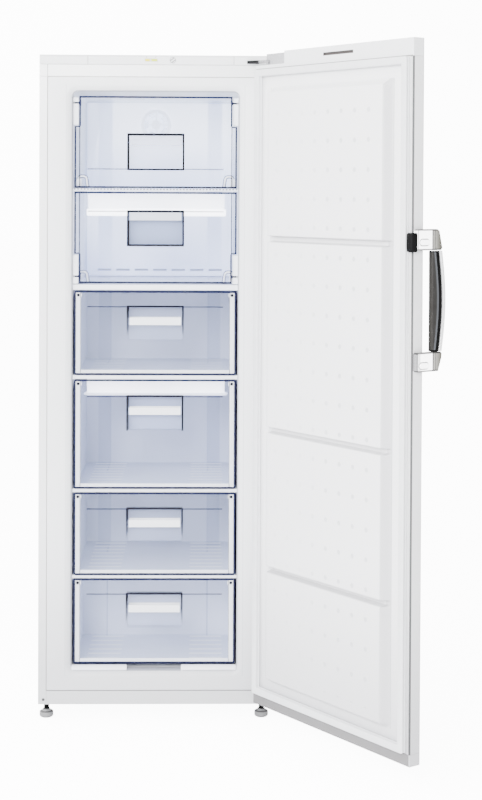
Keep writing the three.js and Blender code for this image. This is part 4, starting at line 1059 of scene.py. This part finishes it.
# %% Hooks
hook_white = Finish("hook_white_plastic")
hook_white.coat(hook_white.mix(hook_white.noise(80), (0.78, 0.81, 0.88), (0.90, 0.91, 0.95)),
                0.3 + hook_white.noise(300) * 0.1, hook_white.noise(600), 0.0001)
# Painted shadow: a larger dark blue tube behind each hook stands for its shadow.
hook_shadow_blue = plain_finish("hook_shadow_plastic", (0.02, 0.03, 0.10), (0.04, 0.06, 0.18),
                         0.6, 500, 0.0001)
HOOK_CORNERS = ((0.1990, 0.0040), (0.1990, 0.0310), (0.1800, 0.0310), (0.1760, 0.0030))
BLOCK_MIDDLE_Z = 0.0127  # above the shelf
block_outline = loop(0.0065, -0.0123, 0.0123, 0.003)
for flap_name, shelf_top, back in (("upper", 1.3723, 0.035), ("lower", 1.1243, 0.056)):
    for side_name, side in SIDES:
        route = rounded_path([(side * a, shelf_top + b) for a, b in HOOK_CORNERS], 0.008, 8)
        for kind, behind, radius, finish in (("hook", 0, 0.0024, hook_white),
                                             ("hook_shadow", 0.008, 0.0046, hook_shadow_blue)):
            path = cabinet_point(route[:, 0], back + behind, route[:, 1])
            tube(f"{kind}_{flap_name}_{side_name}", path, radius, (0, 1, 0), finish, "cabinet")
        slices = [cabinet_point(side * off_middle, back - 0.001 + block_outline[:, 0] * scale,
                                shelf_top + BLOCK_MIDDLE_Z + block_outline[:, 1] * scale)
                  for off_middle, scale in ((0.1915, 0.9), (0.1922, 1), (0.2040, 1), (0.2047, 0.9))]
        grid_piece(f"hook_block_{flap_name}_{side_name}", np.array(slices), hook_white, "cabinet")
print("hooks with shadows and blocks")

# %% Sill bars, plug and pusher
sill_outline = np.array([  # depth and height around a bar's section
    (0.0035, 0.1300), (0.0022, 0.1322), (0.0040, 0.1362), (0.0070, 0.1395), (0.0110, 0.1412),
    (0.0150, 0.1415), (0.0165, 0.1395), (0.0160, 0.1335), (0.0115, 0.1305), (0.0070, 0.1292),
])
sill_ends = ((0.0700, 0.80), (0.0706, 0.93), (0.0716, 1.0),  # off the middle, and scale
             (0.2100, 1.0), (0.2112, 0.93), (0.2120, 0.80))
sill_middle = sill_outline.mean(0)
for side_name, side in SIDES:
    bar_rings = []
    for off_middle, scale in sill_ends:
        depth, z = (sill_middle + (sill_outline - sill_middle) * scale).T
        bar_rings.append(cabinet_point(side * off_middle, depth, z))
    grid_piece(f"sill_bar_{side_name}", np.array(bar_rings), hook_white, "cabinet")

plug_grey = plain_finish("hole_plug_plastic", (0.02, 0.02, 0.02), (0.07, 0.07, 0.07),
                         0.5, 800, 0.0001)
plug = [(0.0004, -0.0010), (0.0026, -0.0009), (0.0036, -0.0004), (0.0040, 0.0004), (0.0004, 0.0004)]
lathe("hinge_hole_plug", plug, lambda a, b, h: cabinet_point(-0.284 + a, h, 0.055 + b),
      plug_grey, "cabinet", 32)

pusher_rings = np.array([  # v, inner u, outer u, and how much of the full height
    (-0.0135, 0.5905, 0.5985, 0.90), (-0.0130, 0.5890, 0.6010, 0.95), (-0.0108, 0.5880, 0.6040, 1),
    (-0.0045, 0.5900, 0.6068, 1), (0.0020, 0.5955, 0.6071, 1), (0.0038, 0.5960, 0.6068, 0.97),
    (0.0041, 0.5965, 0.6062, 0.92),
])
pusher_v, pusher_in, pusher_out, tall = pusher_rings.T[..., None]
wide, high = squarish(ring_angles(40), 0.35)
pusher_body = grid_piece("pusher_hook", door_point(
    (pusher_in + pusher_out) / 2 + (pusher_out - pusher_in) / 2 * wide, pusher_v + 0 * wide,
    1.253 + 0.022 * tall * high), black_plastic, "pusher")
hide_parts("pusher")
print("sill bars, plug and pusher")

# %% [markdown]
# ## Ice trays
# One shallow white tray hangs under the top shelf and one rests in the second drawer.
# A tray is a stack of rounded rectangles seen from above, with a wider lip at its foot.
# Both glow by an emission, as painted light, brightest on the upper tray's lip.

# %% Ice trays
# Painted light: the trays glow by an emission, brightest on the upper tray's lip as a painted
# highlight and dimmest on the lower tray's lip as painted shade.
ice_white = Finish("ice_tray_plastic", Emission_Strength=1.0)
z = ice_white.xyz()[2]
upper_lip = ice_white.band(z, 1.3090, 0.0090, 0.0008)
lower_lip = ice_white.band(z, 0.8340, 0.0030, 0.0008)
ice_glow = ice_white.mix(upper_lip, (2.7, 2.75, 2.95), (5.0, 5.0, 5.2))
ice_glow = ice_white.mix(lower_lip, ice_glow, (0.5, 0.55, 0.8))
ice_white.feed("Emission Color", ice_glow)
ice_white.coat(ice_white.mix(ice_white.noise(30), (0.84, 0.85, 0.88), (0.90, 0.91, 0.93)),
               0.35 + ice_white.noise(700) * 0.1, ice_white.noise(900), 0.0001, 0.001)


def ice_tray(name, half, levels, body):
    """A tray from rounded rectangles: each level has a height and an inset in metres."""
    stack = []
    for level, inset in levels:
        plan = loop(half - inset, 0.075 + inset, 0.115 - inset, 0.010)
        stack.append(cabinet_point(plan[:, 0], plan[:, 1], level))
    grid_piece(name, np.array(stack), ice_white, body)


ice_tray("ice_tray_upper", 0.182, [
    (1.3000, 0.0040), (1.3008, 0.0015), (1.3025, 0.0), (1.3170, 0.0), (1.3182, 0.0012),
    (1.3186, 0.0040), (1.3560, 0.0030), (1.3575, 0.0038), (1.3580, 0.0055)], "cabinet")
ice_tray("ice_tray_lower", 0.188, [
    (0.8310, 0.0030), (0.8316, 0.0010), (0.8328, 0.0), (0.8352, 0.0), (0.8366, 0.0014),
    (0.8374, 0.0060), (0.8390, 0.0080), (0.8710, 0.0070), (0.8725, 0.0078),
    (0.8730, 0.0095)], "drawer_2")
print("ice trays")

# %% [markdown]
# ## The machine at the back
# The compressor is a drawn steel pot in two halves, with a weld seam where they meet
# and a foot plate on rubber feet. The pot's profile is half an ellipse at each end.

# %% Compressor
POT_X, POT_Y = 0.060, 0.432
pot_black = plain_finish("pot_black_paint", (0.010, 0.010, 0.011), (0.022, 0.022, 0.024),
                         0.30, 600, 0.0002, Metallic=0.1)
turn = np.linspace(0, np.pi / 2, 14)
lower_half = [(0.083 * math.sin(t), 0.094 - 0.036 * math.cos(t)) for t in turn]
weld_seam = [(0.083, 0.128), (0.0838, 0.1290), (0.0840, 0.1305), (0.0838, 0.1320), (0.0822, 0.1332)]
upper_half = [(0.0822 * math.cos(t), 0.136 + 0.0855 * math.sin(t)) for t in turn[:-1]]
pot_profile = [(max(r, 0.001), h) for r, h in lower_half + weld_seam + upper_half]
pot_profile.append((0.001, 0.2215))
pot = lathe("compressor_pot", pot_profile, at_cabinet(POT_X, POT_Y), pot_black, "cabinet", 96)
plate_loops = []
for inset, level in ((0.001, 0.0505), (0, 0.0515), (0, 0.0535), (0.001, 0.0545)):
    outline = loop(0.105 - inset, 0.370 + inset, 0.494 - inset, 0.014)
    plate_loops.append(cabinet_point(POT_X + outline[:, 0], outline[:, 1], level))
foot_plate = grid_piece("compressor_foot_plate", np.array(plate_loops), pot_black, "cabinet")
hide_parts("compressor")
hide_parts("compressor")
grommet = [(0.001, 0.0446), (0.0080, 0.0446), (0.0088, 0.0454), (0.0088, 0.0474), (0.0074, 0.0484),
           (0.0088, 0.0494), (0.0088, 0.0502), (0.001, 0.0502)]
grommet_places = [(POT_X + dx, POT_Y + dy) for dy in (-0.05, 0.05) for dx in (-0.092, 0.092)]
for number, (x, y) in enumerate(grommet_places, 1):
    rubber_foot = lathe(f"compressor_grommet_{number}", grommet, at_cabinet(x, y),
                        black_plastic, "cabinet", 28)
    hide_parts("compressor")
print("compressor pot, plate and feet")

# %% Screws on the back
screw_steel = plain_finish("small_screw_steel", (0.42, 0.43, 0.45), (0.60, 0.61, 0.63),
                           0.28, 500, 0.0001, Metallic=1.0)
shell_back = shell_high.y - front_y
screw_head = [(0.0008, 0.0006), (0.0030, 0.0006), (0.0040, 0.0012), (0.0044, 0.0020),
              (0.0040, 0.0028), (0.0028, 0.0034), (0.0008, 0.0036)]
screw_places = [(x, z) for x in (-0.282, 0.282) for z in (0.34, 0.78, 1.22, 1.64)]
for number, (screw_x, screw_z) in enumerate(screw_places, 1):
    lathe(f"back_screw_{number}", screw_head,
          lambda a, b, h, x=screw_x, z=screw_z: cabinet_point(x + a, shell_back + h, z + b),
          screw_steel, "cabinet", 24)
print("screws on the back panel")

# %% [markdown]
# ## Lamp window
# Two small lamps sit behind one clear window in the strip, a yellow one and a green
# one beside it. Two bands across the window tint it where they shine.

# %% Lamp window
window = Finish("lamp_window", Specular_IOR_Level=0.1)
x, _, z = window.xyz()
lamp_height = window.band(z, 1.701, 0.0026, 0.0006)
yellow = window.band(x, middle_x - 0.0215, 0.0052, 0.0008) * lamp_height
green = window.band(x, middle_x - 0.0040, 0.0070, 0.0008) * lamp_height
window_tint = window.mix(yellow, (0.66, 0.66, 0.60), (0.80, 0.72, 0.03))
window.coat(window.mix(green, window_tint, (0.62, 0.70, 0.06)), 0.3, window.noise(200, 1),
            0.0001, 0.0005, ("indicator_lamps",))
print("lamp window")

# %% [markdown]
# ## Floor and light
# The photograph was lit by big soft boxes against pure white. A floor and a wall that
# bright would wash out the object, so both are white where they are looked at, from
# any side, and dim as lamps. The surround that lights the object is brighter at the
# left and above, so faces that turn away from it are greyer, and chrome shows it.

# %% Floor
FLOOR_REACH = 40.0
FLOOR_SEEN, WALL_SEEN = 10.5, 11.0  # how white the floor and the wall look
floor_mesh = bpy.data.meshes.new("studio_floor")
floor_corners = ((-1, -1), (1, -1), (1, 1), (-1, 1))
floor_mesh.from_pydata([(x * FLOOR_REACH, y * FLOOR_REACH, 0) for x, y in floor_corners],
                       [], [(0, 1, 2, 3)])
floor = bpy.data.objects.new("studio_floor", floor_mesh)
bpy.context.scene.collection.objects.link(floor)
floor_white = Finish("studio_floor", Base_Color=(0.9, 0.9, 0.91), Roughness=0.8,
                     Emission_Strength=FLOOR_SEEN)
floor_white.feed("Emission Color", floor_white.mix(
    floor_white.looked_at(), (0.03, 0.03, 0.03), (1.0, 1.0, 1.0)))
floor_mesh.materials.append(floor_white.material)
print("floor", 2 * FLOOR_REACH, "m across")

# %% Surround
world = bpy.data.worlds.new("studio")
world.use_nodes = True
bpy.context.scene.world = world
sky = NodeTree(world.node_tree, "Background")
x, _, z = sky.split(sky.node("ShaderNodeTexCoord").outputs["Generated"])
around = sky.ramp(x, -0.7, 0.75, 3.0, 0.8) * sky.ramp(z, -0.3, 0.7, 0.95, 1.3)
sky.feed("Color", (1.0, 1.0, 1.0))
sky.feed("Strength", around + sky.looked_at() * WALL_SEEN)
print("surround lit")


# %% Lamps of the studio
def soft_box(name, place, aim, size, watts):
    """A square lamp of this size at place, facing aim."""
    lamp = bpy.data.lights.new(name, "AREA")
    lamp.size = size
    lamp.energy = watts
    lamp_object = bpy.data.objects.new(name, lamp)
    place = Vector(place)
    turn = (Vector(aim) - place).to_track_quat("-Z", "Y").to_matrix().to_4x4()
    lamp_object.matrix_world = Matrix.Translation(place) @ turn
    bpy.context.scene.collection.objects.link(lamp_object)


soft_box("key", (-2.6, -3.2, 2.8), (middle_x + 0.3, -0.1, 1.0), 1.6, 140)
soft_box("fill", (-0.9, -4.4, 2.35), (middle_x + 0.2, -0.1, 0.9), 1.2, 290)
print("studio lit")

# %% Finish
print("scene built")
